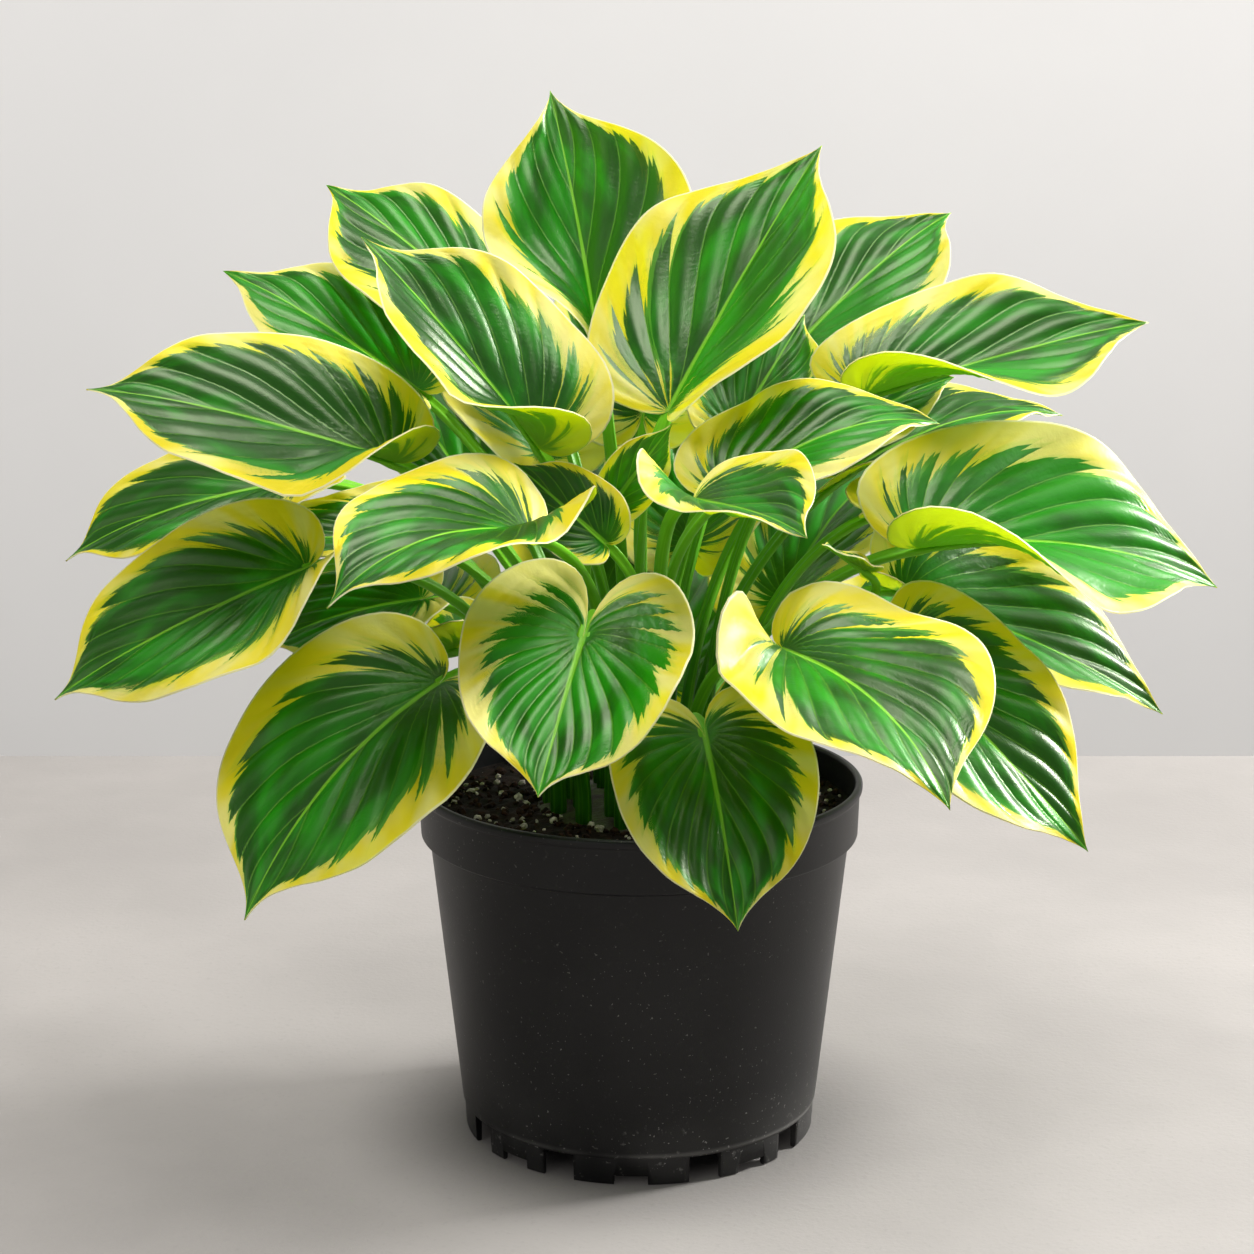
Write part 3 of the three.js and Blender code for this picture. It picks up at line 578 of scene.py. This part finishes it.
def stage_material(name, base, mottle, bump, glow):
    """Pale and dull, with painted shade that darkens the wall low down, where it meets the floor.

    The glow is painted light that keeps the shadows light. It ends near the pot in a painted
    shadow, so that the floor under it is dark.
    The back of a stage face is clear, so that the wall doesn't hide the plant from behind.
    """
    recipe = Recipe(name)
    place = recipe.place()
    x, y, z = recipe.parts(place)
    # Painted shade: darker towards the bottom of the wall, where it meets the floor.
    low = 1 - z.step(-0.3, 0.6)
    # Painted shadow: the glow is taken away near the pot.
    outside_pot_shadow = (x * x + y * y).math("SQRT").step(0.07, 0.17)
    cloud = recipe.noise(place, 3.0, 4.0, 0.6)
    sand = recipe.noise(place, 260.0, 4.0, 0.65)
    darker = tuple(value * (1 - mottle) for value in base)
    flesh = recipe.layers(
        darker, (cloud.step(0.3, 0.7), base), (sand.step(0.56, 0.7) * mottle * 3, darker),
        (low * 0.28, BLACK),
    )
    return recipe.finish(recipe.surface(flesh, 0.85, (sand, bump, 0.001), more={
        "Alpha": 1 - recipe.amount("NewGeometry", {}, "Backfacing"),
        "Emission Color": recipe.layers(BLACK, (outside_pot_shadow, flesh)),
        "Emission Strength": glow,
    }))


def unit(vector):
    return vector / np.linalg.norm(vector, axis=-1, keepdims=True)


def bezier(points, share):
    share = np.asarray(share, float)[..., None]
    a, b, c, d = (np.asarray(point, float) for point in points)
    rest = 1 - share
    return rest**3 * a + 3 * rest**2 * share * b + 3 * rest * share**2 * c + share**3 * d


def outline(along, lobe, wide):
    """Half a blade's outline in shares of length and half width: lobe, widest place, tip."""
    stretches = (
        (0.0, 0.15, ((0, 0), (-0.6 * lobe, 0.02), (-lobe, 0.16), (-lobe, 0.42))),
        (0.15, 0.4, ((-lobe, 0.42), (-lobe, 0.76), (wide - 0.2, 1), (wide, 1))),
        (0.4, 0.74, ((wide, 1), (wide + 0.22, 1), (0.67, 0.86), (0.8, 0.44))),
        (0.74, 1.0, ((0.8, 0.44), (0.875, 0.19), (0.93, 0.05), (1, 0))),
    )
    found = np.zeros(along.shape + (2,))
    for low, high, points in stretches:
        inside = (along >= low) & (along <= high)
        found[inside] = bezier(points, (along[inside] - low) / (high - low))
    return found[..., 0], found[..., 1]


class LeafForm:
    """Where every point of a leaf lies, in millimetres."""

    def __init__(self, entry):
        (number, radius, turn, joint, tip, self.width), form = entry
        self.node = "leaf_%02d" % number
        for key, value in form.items():
            setattr(self, key, value)
        self.turn = math.radians(turn)
        self.foot = np.array(
            [radius * math.cos(self.turn), radius * math.sin(self.turn), HOLE_FLOOR], float
        )
        self.joint = np.array(joint, float)
        self.chord = np.array(tip, float) - self.joint
        self.length = float(np.linalg.norm(self.chord))
        along = self.chord / self.length
        plan = np.array([along[0], along[1], 0.0])
        if self.heading is not None:
            heading = math.radians(self.heading)
            plan = np.array([math.cos(heading), math.sin(heading), 0.0])
        right = np.cross(unit(plan), [0, 0, 1])
        right = unit(right - right.dot(along) * along)
        upward = np.cross(right, along)
        roll = math.radians(self.roll)
        self.right = right * math.cos(roll) - upward * math.sin(roll)
        self.upward = upward * math.cos(roll) + right * math.sin(roll)

    def midrib(self, share):
        """Place, direction and the frame across the midrib, at a share of the length."""
        share = np.asarray(share, float)
        held = np.clip(share, 0, 1)
        over = share - held
        bow, slope = 4 * held * (1 - held), 4 * (1 - 2 * held)
        rise = self.length * (self.arch * bow + self.hook * (held - held**5))
        rise_slope = self.length * (self.arch * slope + self.hook * (1 - 5 * held**4))
        side, side_slope = self.length * self.sway * bow, self.length * self.sway * slope
        place = self.joint + self.chord * share[..., None]
        place = place + self.upward * (rise + over * rise_slope)[..., None]
        place = place + self.right * (side + over * side_slope)[..., None]
        ahead = self.chord + self.upward * rise_slope[..., None]
        ahead = unit(ahead + self.right * side_slope[..., None])
        across = unit(self.right - (ahead @ self.right)[..., None] * ahead)
        return place, ahead, across, np.cross(across, ahead)

    def blade(self, along, rib, side):
        """Places on the blade, and how far each is from the midrib."""
        hand = 0 if side < 0 else 1
        edge_x, edge_y = outline(along, self.lobe[hand], self.wide)
        start = 0.5 * np.sqrt(1 - rib)
        share = (1 - rib) * (start + (1 - start) * along**1.1) + rib * edge_x
        half = self.width / 2 * (1 + side * self.skew)
        out = rib * edge_y
        place, _, across, up = self.midrib(share)
        base = np.clip(1 - (share + 0.15) / self.reach, 0, 1.2)
        soft = base * base * (3 - 2 * np.minimum(base, 1))
        fold = np.radians(self.fold[hand] + self.lobes[hand] * soft)
        curl = math.radians(self.curl[hand])
        if abs(curl) > 0.0001:
            flat = (np.sin(fold + curl * out) - np.sin(fold)) / curl
            lift = (np.cos(fold) - np.cos(fold + curl * out)) / curl
        else:
            flat, lift = np.cos(fold) * out, np.sin(fold) * out
        turn = self.waves * along + self.phase + (0 if side < 0 else 0.43)
        wave = self.wave * rib**2 * np.sin(2 * np.pi * turn)
        wave = wave * np.clip(np.sin(np.pi * along), 0, 1) ** 0.6
        place = place + across * (side * flat * half)[..., None]
        return place + up * (lift * half + wave)[..., None], out * half, share

    def veins(self, share, far, side, look):
        """The number of the vein at a place, and the way from one vein to the next there.

        The veins are arcs from the base to the tip that lean out, so that some leave the
        midrib further up and the outer ones end in the margin.
        """
        half = self.width / 2 * (1 + side * self.skew)
        reach = self.length / half
        x, y = share * reach, far / half
        turn = np.arctan2(y, x) + np.arctan2(y, reach - x)
        gap = look.vein_step * np.hypot(x, y) * np.hypot(reach - x, y) / reach * half
        return (turn - look.vein_lean * share) / look.vein_step, gap

    def stalk(self, steps):
        """Stations of the stalk: place, direction, across, share of the way to the blade."""
        start, ahead, across, out = self.midrib(0.0)
        top = np.array([self.foot[0], self.foot[1], STALK_TOP])
        span = float(np.linalg.norm(start - top))
        bend = np.array(self.bend, float)
        handles = (
            top, top + [0, 0, span * 0.42] + bend, start - ahead * span * 0.28 + bend,
            start - out * 0.8,
        )
        shares = np.linspace(0, 1, steps + 1)
        places = bezier(handles, shares)
        ways = unit(np.gradient(places, axis=0))
        ways[0], ways[-1] = (0, 0, 1), unit(handles[3] - handles[2])
        places = np.vstack([[self.foot], places])
        ways = np.vstack([[(0, 0, 1)], ways])
        shares = np.append([0], shares)
        level = np.array([math.sin(self.turn), -math.cos(self.turn), 0.0])
        mix = (shares**2 * (3 - 2 * shares))[:, None]
        sides = level * (1 - mix) + across * mix
        sides = unit(sides - (sides * ways).sum(1, keepdims=True) * ways)
        return places, ways, sides, shares


def smooth(shape):
    for face in shape.faces:
        face.smooth = True


def new_piece(name, shape, materials, slot, *nodes):
    """A finished mesh piece that rides on the one body and stands for its nodes."""
    mesh = bpy.data.meshes.new(name)
    shape.normal_update()
    shape.to_mesh(mesh)
    shape.free()
    for material in materials:
        mesh.materials.append(material)
    piece = bpy.data.objects.new(name, mesh)
    bpy.context.scene.collection.objects.link(piece)
    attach(piece, "root")
    if nodes:
        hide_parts(*nodes)
    return piece


def grid_verts(shape, columns, rows):
    """The vertices of a fresh grid, row by row."""
    made = bmesh.ops.create_grid(shape, x_segments=columns, y_segments=rows, size=1)["verts"]
    made = sorted(made, key=lambda vert: (round(vert.co.y, 5), round(vert.co.x, 5)))
    if len(made) != (columns + 1) * (rows + 1):
        raise RuntimeError("a grid has another number of vertices than planned")
    return made


def add_blade(shape, form, look, seed):
    """Both halves of a blade as pleated sheets, joined at the midrib and thickened."""
    bake_map, blade_map, rib_map, vein_map = (shape.loops.layers.uv[name] for name in UV_MAPS)
    along = np.linspace(0, 1, look.rows + 1)
    along = along + 0.06 * np.sin(2 * np.pi * along) / (2 * np.pi)
    rib = np.linspace(0, 1, look.columns + 1)
    tall, wide = np.meshgrid(along, rib, indexing="ij")
    sheet = []
    for side in (-1, 1):
        places, far, share = form.blade(tall, wide, side)
        course, gap = form.veins(share, far, side, look)
        comb = np.abs(np.sin(np.pi * course)) ** 0.8
        calm = np.clip((1.04 - wide) / 0.25, 0, 1) * np.clip(far / FULL_FAR, 0, 1)
        calm = calm * np.clip(gap / FULL_GAP, 0, 1.2)
        lift = (comb - 0.5) * look.pleat_height / MM * calm
        ribs = far / (MIDRIB_HALF * (1.08 - np.clip(share, 0, 1)))
        verts = grid_verts(shape, look.columns, look.rows)
        layer = shape.verts.layers.float["lift"]
        numbers = {}
        for vert, place, rise, *own in zip(
            verts, places.reshape(-1, 3), lift.ravel(), wide.ravel(), tall.ravel(),
            ribs.ravel(), course.ravel(), gap.ravel(),
        ):
            vert.co = place
            vert[layer] = rise
            numbers[vert] = own
        for face in {face for vert in verts for face in vert.link_faces}:
            for loop in face.loops:
                across, height, near_rib, number, spacing = numbers[loop.vert]
                loop[blade_map].uv = (across, height)
                loop[vein_map].uv = (number, spacing)
                loop[rib_map].uv = (near_rib, seed + (0 if side < 0 else 0.5))
                loop[bake_map].uv = (0.24 + side * across * 0.23, 0.13 + 0.86 * height)
        sheet += verts
    bmesh.ops.remove_doubles(shape, verts=sheet, dist=0.02)
    faces = list(shape.faces)
    bmesh.ops.recalc_face_normals(shape, faces=faces)
    facing = sum((face.normal * face.calc_area()).dot(Vector(form.upward)) for face in faces)
    if facing < 0:
        bmesh.ops.reverse_faces(shape, faces=faces)
    shape.normal_update()
    layer = shape.verts.layers.float["lift"]
    for vert in shape.verts:
        vert.co += vert.normal * vert[layer]
    shape.normal_update()
    below, low_verts = list(shape.faces), list(shape.verts)
    downs = [vert.normal * (look.thickness / MM) for vert in low_verts]
    bmesh.ops.extrude_face_region(shape, geom=below, use_keep_orig=True)
    for vert, down in zip(low_verts, downs):
        vert.co -= down
    bmesh.ops.reverse_faces(shape, faces=below)
    for face in below:
        face.material_index = 1
        for loop in face.loops:
            u, v = loop[bake_map].uv
            loop[bake_map].uv = (u + 0.5, v)


def add_stalk(shape, form, look, seed):
    """The channelled stalk, which runs on under the blade as its midrib."""
    bake_map, blade_map, rib_map, vein_map = (shape.loops.layers.uv[name] for name in UV_MAPS)
    places, ways, sides, shares = form.stalk(STALK_STEPS)
    under, ahead, across, out = form.midrib(MIDRIB_RUN)
    slimming = (look.stalk_radius - look.foot_radius) * np.minimum(1, shares * 3)
    radii = (look.foot_radius + slimming) / MM * form.size
    keel = look.stalk_radius / MM * form.size * 0.55 * (1.06 - MIDRIB_RUN)
    places = np.vstack([places, under - out * (keel * 0.95)[:, None]])
    ways = np.vstack([ways, ahead])
    sides = np.vstack([sides, across])
    radii = np.append(radii, keel)
    channel = np.append(np.clip(shares * 2.5, 0, 1), 1 - np.clip(MIDRIB_RUN / 0.12, 0, 1))
    going = np.append(shares * 0.8, 0.8 + MIDRIB_RUN * 0.2)
    ups = np.cross(sides, ways)
    verts = grid_verts(shape, STALK_SIDES, len(places) - 1)
    numbers = {}
    for index, vert in enumerate(verts):
        row, column = divmod(index, STALK_SIDES + 1)
        turn = 2 * math.pi * (column / STALK_SIDES) + math.pi
        flat, high = math.sin(turn), -math.cos(turn)
        if high > 0:
            high *= 1 - channel[row] * 0.85 * max(0.0, 1 - abs(flat) / 0.9) ** 0.6
        vert.co = places[row] + (sides[row] * flat + ups[row] * high) * radii[row]
        numbers[vert] = (column / STALK_SIDES, going[row])
    faces = {face for vert in verts for face in vert.link_faces}
    for face in faces:
        face.material_index = 2
        for loop in face.loops:
            u, v = numbers[loop.vert]
            loop[blade_map].uv = (u, v)
            loop[rib_map].uv = (9, seed)
            loop[vein_map].uv = (0.5, 9)
            loop[bake_map].uv = (0.01 + v * 0.98, 0.01 + u * 0.1)
    bmesh.ops.remove_doubles(shape, verts=verts, dist=0.001)
    rims = {edge for face in faces for edge in face.edges if edge.is_boundary}
    for face in bmesh.ops.holes_fill(shape, edges=list(rims), sides=0)["faces"]:
        face.material_index = 2
    faces = [face for face in shape.faces if face.material_index == 2]
    bmesh.ops.recalc_face_normals(shape, faces=faces)


class HOSTA_OT_leaves(bpy.types.Operator):
    """Adds every leaf, a pleated blade with its stalk, in its place on the crown"""

    bl_idname = "hosta.leaves"
    bl_label = "Leaves"

    def execute(self, context):
        look = context.scene.hosta_leaf
        materials = [
            blade_material("leaf_upper", look, False), blade_material("leaf_under", look, True),
            stalk_material(look),
        ]
        for index, entry in enumerate(LEAVES):
            form = LeafForm(entry)
            shape = bmesh.new()
            for name in UV_MAPS:
                shape.loops.layers.uv.new(name)
            shape.verts.layers.float.new("lift")
            add_blade(shape, form, look, index)
            add_stalk(shape, form, look, index)
            shape.verts.layers.float.remove(shape.verts.layers.float["lift"])
            bmesh.ops.scale(shape, vec=(MM, MM, MM), verts=shape.verts)
            smooth(shape)
            new_piece("hosta_" + form.node, shape, materials, "leaf", form.node)
        return {"FINISHED"}


def turned(shape, profile, steps):
    """A profile of radius and height, spun about Z."""
    verts = [shape.verts.new((radius, 0, height)) for radius, height in profile]
    edges = [shape.edges.new(pair) for pair in zip(verts, verts[1:])]
    bmesh.ops.spin(
        shape, geom=verts + edges, cent=ORIGIN, axis=UP, dvec=ORIGIN, angle=2 * math.pi,
        steps=steps, use_merge=True, use_duplicate=False,
    )
    bmesh.ops.remove_doubles(shape, verts=shape.verts, dist=1e-6)
    bmesh.ops.recalc_face_normals(shape, faces=shape.faces)


def rounded(profile, radius, steps=3):
    """The same profile with each inner corner turned into a short curve."""
    found = [profile[0]]
    for before, here, after in zip(profile, profile[1:], profile[2:]):
        a, b, c = Vector(before), Vector(here), Vector(after)
        back, ahead = a - b, c - b
        cut = min(radius, back.length * 0.4, ahead.length * 0.4)
        low, high = b + back.normalized() * cut, b + ahead.normalized() * cut
        for k in range(steps + 1):
            share = k / steps
            point = low * (1 - share) ** 2 + b * 2 * share * (1 - share) + high * share**2
            found.append((point.x, point.y))
    found.append(profile[-1])
    return found


def cut_away(piece, cutter):
    """Takes the cutter's shape out of the piece, for good."""
    scene = bpy.context.scene
    scene.collection.objects.link(cutter)
    change = piece.modifiers.new("cut", "BOOLEAN")
    change.operation = "DIFFERENCE"
    change.solver = "EXACT"
    change.object = cutter
    bpy.context.view_layer.update()
    found = piece.evaluated_get(bpy.context.evaluated_depsgraph_get())
    mesh = bpy.data.meshes.new_from_object(found)
    piece.modifiers.clear()
    piece.data = mesh
    bpy.data.objects.remove(cutter)


class HOSTA_OT_pot(bpy.types.Operator):
    """Adds the pot: rolled lip, wide band, tapered body, stepped foot and drainage notches"""

    bl_idname = "hosta.pot"
    bl_label = "Pot"

    def execute(self, context):
        look = context.scene.hosta_pot
        wall, height = look.wall, look.height
        band, band_foot = look.band_radius, height - look.band_height
        body, foot, rim = look.body_radius, look.foot_radius, look.rim_radius
        profile = [
            (0, POT_UNDER), (foot - wall - 0.0006, POT_UNDER), (foot - wall - 0.0006, 0),
            (foot, 0), (foot + 0.0008, look.foot_step - 0.0005),
            (foot + 0.0016, look.foot_step + 0.0003), (body, band_foot - 0.0016),
            (band, band_foot), (rim - 0.0014, height - 0.005), (rim, height - 0.0036),
            (rim, height - 0.001), (rim - 0.001, height), (rim - 0.003, height),
            (rim - 0.0039, height - 0.0012), (band - wall, band_foot + 0.0016),
            (body - wall, band_foot - 0.0018), (foot - wall + 0.0016, POT_FLOOR + 0.002),
            (foot - wall + 0.0012, POT_FLOOR), (0, POT_FLOOR),
        ]
        shape = bmesh.new()
        turned(shape, rounded(profile, CORNER), POT_STEPS)
        smooth(shape)
        pot = new_piece("nursery_pot", shape, [pot_material(look)], "pot", "pot")
        cuts = bmesh.new()
        for tall, deep, turns in (
            (look.notch_height, NOTCH_DEPTH, NOTCHES),
            (LOW_NOTCH_HEIGHT, LOW_NOTCH_DEPTH, LOW_NOTCHES),
        ):
            middle = foot + 0.003 - deep / 2
            for turn in turns:
                made = bmesh.ops.create_cube(cuts, size=1)["verts"]
                bmesh.ops.scale(cuts, vec=(look.notch_width, deep, tall + 0.002), verts=made)
                bmesh.ops.translate(cuts, vec=(0, -middle, tall / 2 - 0.001), verts=made)
                spin = Matrix.Rotation(look.notch_turn + math.radians(turn), 3, UP)
                bmesh.ops.rotate(cuts, cent=ORIGIN, verts=made, matrix=spin)
        mesh = bpy.data.meshes.new("notches")
        cuts.to_mesh(mesh)
        cuts.free()
        cut_away(pot, bpy.data.objects.new("notches", mesh))
        return {"FINISHED"}


def soil_height(x, y):
    """The soil's low uneven top, in millimetres, as in the solid."""
    wide = math.sin(x * 0.061 + 0.7) * math.cos(y * 0.057 - 0.4)
    fine = math.sin(x * 0.17 + y * 0.11) * math.cos(y * 0.19 - x * 0.07 + 1.3)
    return 1.1 * wide + 0.9 * fine


class HOSTA_OT_soil(bpy.types.Operator):
    """Adds the soil with its pale grains and dark crumbs"""

    bl_idname = "hosta.soil"
    bl_label = "Soil"

    def execute(self, context):
        look = context.scene.hosta_soil
        pot = context.scene.hosta_pot
        shape = bmesh.new()
        reach = pot.band_radius - pot.wall - 0.0003
        for vert in grid_verts(shape, SOIL_STEPS, SOIL_STEPS):
            x, y = vert.co.x, vert.co.y
            flat_x = x * math.sqrt(max(0, 1 - y * y / 2))
            flat_y = y * math.sqrt(max(0, 1 - x * x / 2))
            far = math.hypot(flat_x, flat_y)
            vert.co.x, vert.co.y = flat_x * reach, flat_y * reach
            rough = noise.fractal(Vector((flat_x, flat_y, 0.3)) * 34, 0.9, 2.1, 4)
            rise = soil_height(vert.co.x / MM, vert.co.y / MM) * MM + rough * 0.0011
            vert.co.z = look.level + rise * min(1, (1 - far) * 12)
        rim = [edge for edge in shape.edges if edge.is_boundary]
        band_foot = pot.height - pot.band_height
        floor = pot.foot_radius - pot.wall + 0.0009
        for radius, high in (
            (reach - 0.0006, band_foot + 0.0019), (pot.body_radius - pot.wall - 0.0004, 0.156),
            (floor + 0.0003, POT_FLOOR + 0.0022), (floor - 0.0003, POT_FLOOR + 0.0003),
        ):
            made = bmesh.ops.extrude_edge_only(shape, edges=rim)["geom"]
            rim = [part for part in made if isinstance(part, bmesh.types.BMEdge)]
            for vert in [part for part in made if isinstance(part, bmesh.types.BMVert)]:
                far = math.hypot(vert.co.x, vert.co.y)
                vert.co.x *= radius / far
                vert.co.y *= radius / far
                vert.co.z = high
        bmesh.ops.holes_fill(shape, edges=rim, sides=0)
        bmesh.ops.recalc_face_normals(shape, faces=shape.faces)
        smooth(shape)
        new_piece("soil_bed", shape, [soil_material(look)], "soil", "soil")
        for name, count, seed, sizes, light, dark in (
            ("soil_grains", look.grains, 71, GRAIN_SIZES, look.grain, 0.42),
            ("soil_crumbs", look.crumbs, 72, CRUMB_SIZES, look.crumb, 0.25),
        ):
            shade = tuple(value * dark for value in light)
            shape = self.scattered(look.level, count, seed, sizes)
            new_piece(name, shape, [loose_material(name, light, shade)], "soil")
        return {"FINISHED"}

    def scattered(self, level, count, seed, sizes):
        """Uneven lumps on the soil, between two sizes."""
        draw = random.Random(seed)
        shape = bmesh.new()
        for _ in range(count):
            turn = draw.uniform(0, 2 * math.pi)
            far = SCATTER_REACH * math.sqrt(draw.uniform(0.19, 0.97))
            size = sizes[0] + (sizes[1] - sizes[0]) * draw.random() ** 2
            x, y = far * math.cos(turn), far * math.sin(turn)
            made = bmesh.ops.create_icosphere(shape, subdivisions=1, radius=size)["verts"]
            flat = draw.uniform(0.55, 0.95)
            for vert in made:
                vert.co *= draw.uniform(0.78, 1.12)
                vert.co.z *= flat
            tilt = Vector((draw.uniform(-1, 1), draw.uniform(-1, 1), 1))
            spin = UP.rotation_difference(tilt).to_matrix()
            bmesh.ops.rotate(shape, cent=ORIGIN, verts=made, matrix=spin)
            high = level + soil_height(x / MM, y / MM) * MM + size * 0.25
            bmesh.ops.translate(shape, vec=(x, y, high), verts=made)
        return shape


class HOSTA_OT_crown(bpy.types.Operator):
    """Adds the knobbly crown that the stalks grow from"""

    bl_idname = "hosta.crown"
    bl_label = "Crown"

    def execute(self, context):
        look = context.scene.hosta_soil
        shape = bmesh.new()
        radius = look.crown_radius
        bottom = look.level - 0.020
        profile = [(0, bottom), (radius * 0.99, bottom), (radius, look.level - 0.002)]
        for step in range(1, CROWN_RISE_STEPS + 1):
            share = 1 - step / CROWN_RISE_STEPS
            rise = look.crown_rise * math.cos(share * math.pi / 2)
            profile.append((radius * share, look.level + 0.0008 + rise))
        turned(shape, profile, CROWN_STEPS)
        for vert in shape.verts:
            if vert.co.z > look.level - 0.001:
                knob = noise.fractal(vert.co * 160, 0.8, 2.0, 3)
                vert.co.z += knob * 0.0012 - 0.0006
        smooth(shape)
        new_piece("crown_mound", shape, [crown_material(look)], "crown", "crown")
        return {"FINISHED"}


class HOSTA_OT_stage(bpy.types.Operator):
    """Adds the floor, the wall, the lights and the camera"""

    bl_idname = "hosta.stage"
    bl_label = "Stage"

    def execute(self, context):
        look = context.scene.hosta_stage
        scene = context.scene
        wall_place = (0, look.wall_distance, 0)
        # The last number of each is the glow, painted light that keeps the shadows light.
        for name, place, facing, base, mottle, bump, glow in (
            ("floor", (0, 0, -FLOOR_DROP), (0, 0, 1), look.floor, 0.16, 0.3, 1.9),
            ("wall", wall_place, (0, -1, 0), look.wall, 0.03, 0.0, 0.95),
        ):
            shape = bmesh.new()
            bmesh.ops.create_grid(shape, x_segments=2, y_segments=2, size=STAGE_REACH)
            spin = UP.rotation_difference(Vector(facing)).to_matrix()
            bmesh.ops.rotate(shape, cent=ORIGIN, verts=shape.verts, matrix=spin)
            bmesh.ops.translate(shape, vec=place, verts=shape.verts)
            mesh = bpy.data.meshes.new(name)
            shape.to_mesh(mesh)
            shape.free()
            mesh.materials.append(stage_material("stage_" + name, base, mottle, bump, glow))
            thing = bpy.data.objects.new(name, mesh)
            scene.collection.objects.link(thing)
        for lamp in LAMPS:
            self.add_light(*lamp)
        world = bpy.data.worlds.new("studio")
        world.use_nodes = True
        sky = world.node_tree.nodes["Background"].inputs
        sky[0].default_value = SKY
        sky[1].default_value = SKY_STRENGTH
        scene.world = world
        camera = bpy.data.cameras.new("camera")
        camera.lens = look.lens
        camera.sensor_width = 36
        holder = bpy.data.objects.new("camera", camera)
        holder.location = CAMERA_PLACE
        holder.rotation_euler = (CAMERA_TILT, 0, 0)
        scene.collection.objects.link(holder)
        scene.camera = holder
        scene.view_settings.view_transform = "Standard"
        return {"FINISHED"}

    def add_light(self, name, place, target, size, power):
        lamp = bpy.data.lights.new(name, "AREA")
        lamp.shape = "DISK"
        lamp.size = size
        lamp.energy = power
        holder = bpy.data.objects.new(name, lamp)
        holder.location = place
        way = Vector(target) - Vector(place)
        holder.rotation_euler = way.to_track_quat("-Z", "Y").to_euler()
        bpy.context.scene.collection.objects.link(holder)


class HOSTA_PT_sidebar(bpy.types.Panel):
    """Lists the pieces and their settings"""

    bl_label = "Potted Hosta"
    bl_idname = "HOSTA_PT_sidebar"
    bl_space_type = "VIEW_3D"
    bl_region_type = "UI"
    bl_category = "Hosta"

    def draw(self, context):
        layout = self.layout
        for kind, settings in (
            ("pot", "pot"), ("soil", "soil"), ("crown", "soil"), ("leaves", "leaf"),
            ("stage", "stage"),
        ):
            box = layout.box()
            box.operator("hosta." + kind)
            group = getattr(context.scene, "hosta_" + settings)
            for key in type(group).__annotations__:
                box.prop(group, key)


SETTINGS = {
    "hosta_pot": PotSettings, "hosta_soil": SoilSettings,
    "hosta_leaf": LeafSettings, "hosta_stage": StageSettings,
}
CLASSES = (
    *SETTINGS.values(), HOSTA_OT_pot, HOSTA_OT_soil, HOSTA_OT_crown, HOSTA_OT_leaves,
    HOSTA_OT_stage, HOSTA_PT_sidebar,
)


def register():
    for kind in CLASSES:
        bpy.utils.register_class(kind)
    for name, kind in SETTINGS.items():
        setattr(bpy.types.Scene, name, PointerProperty(type=kind))


def unregister():
    for name in SETTINGS:
        delattr(bpy.types.Scene, name)
    for kind in reversed(CLASSES):
        bpy.utils.unregister_class(kind)


def main():
    register()
    bpy.ops.hosta.stage()
    bpy.ops.hosta.pot()
    bpy.ops.hosta.soil()
    bpy.ops.hosta.crown()
    bpy.ops.hosta.leaves()


if __name__ == "__main__":
    main()
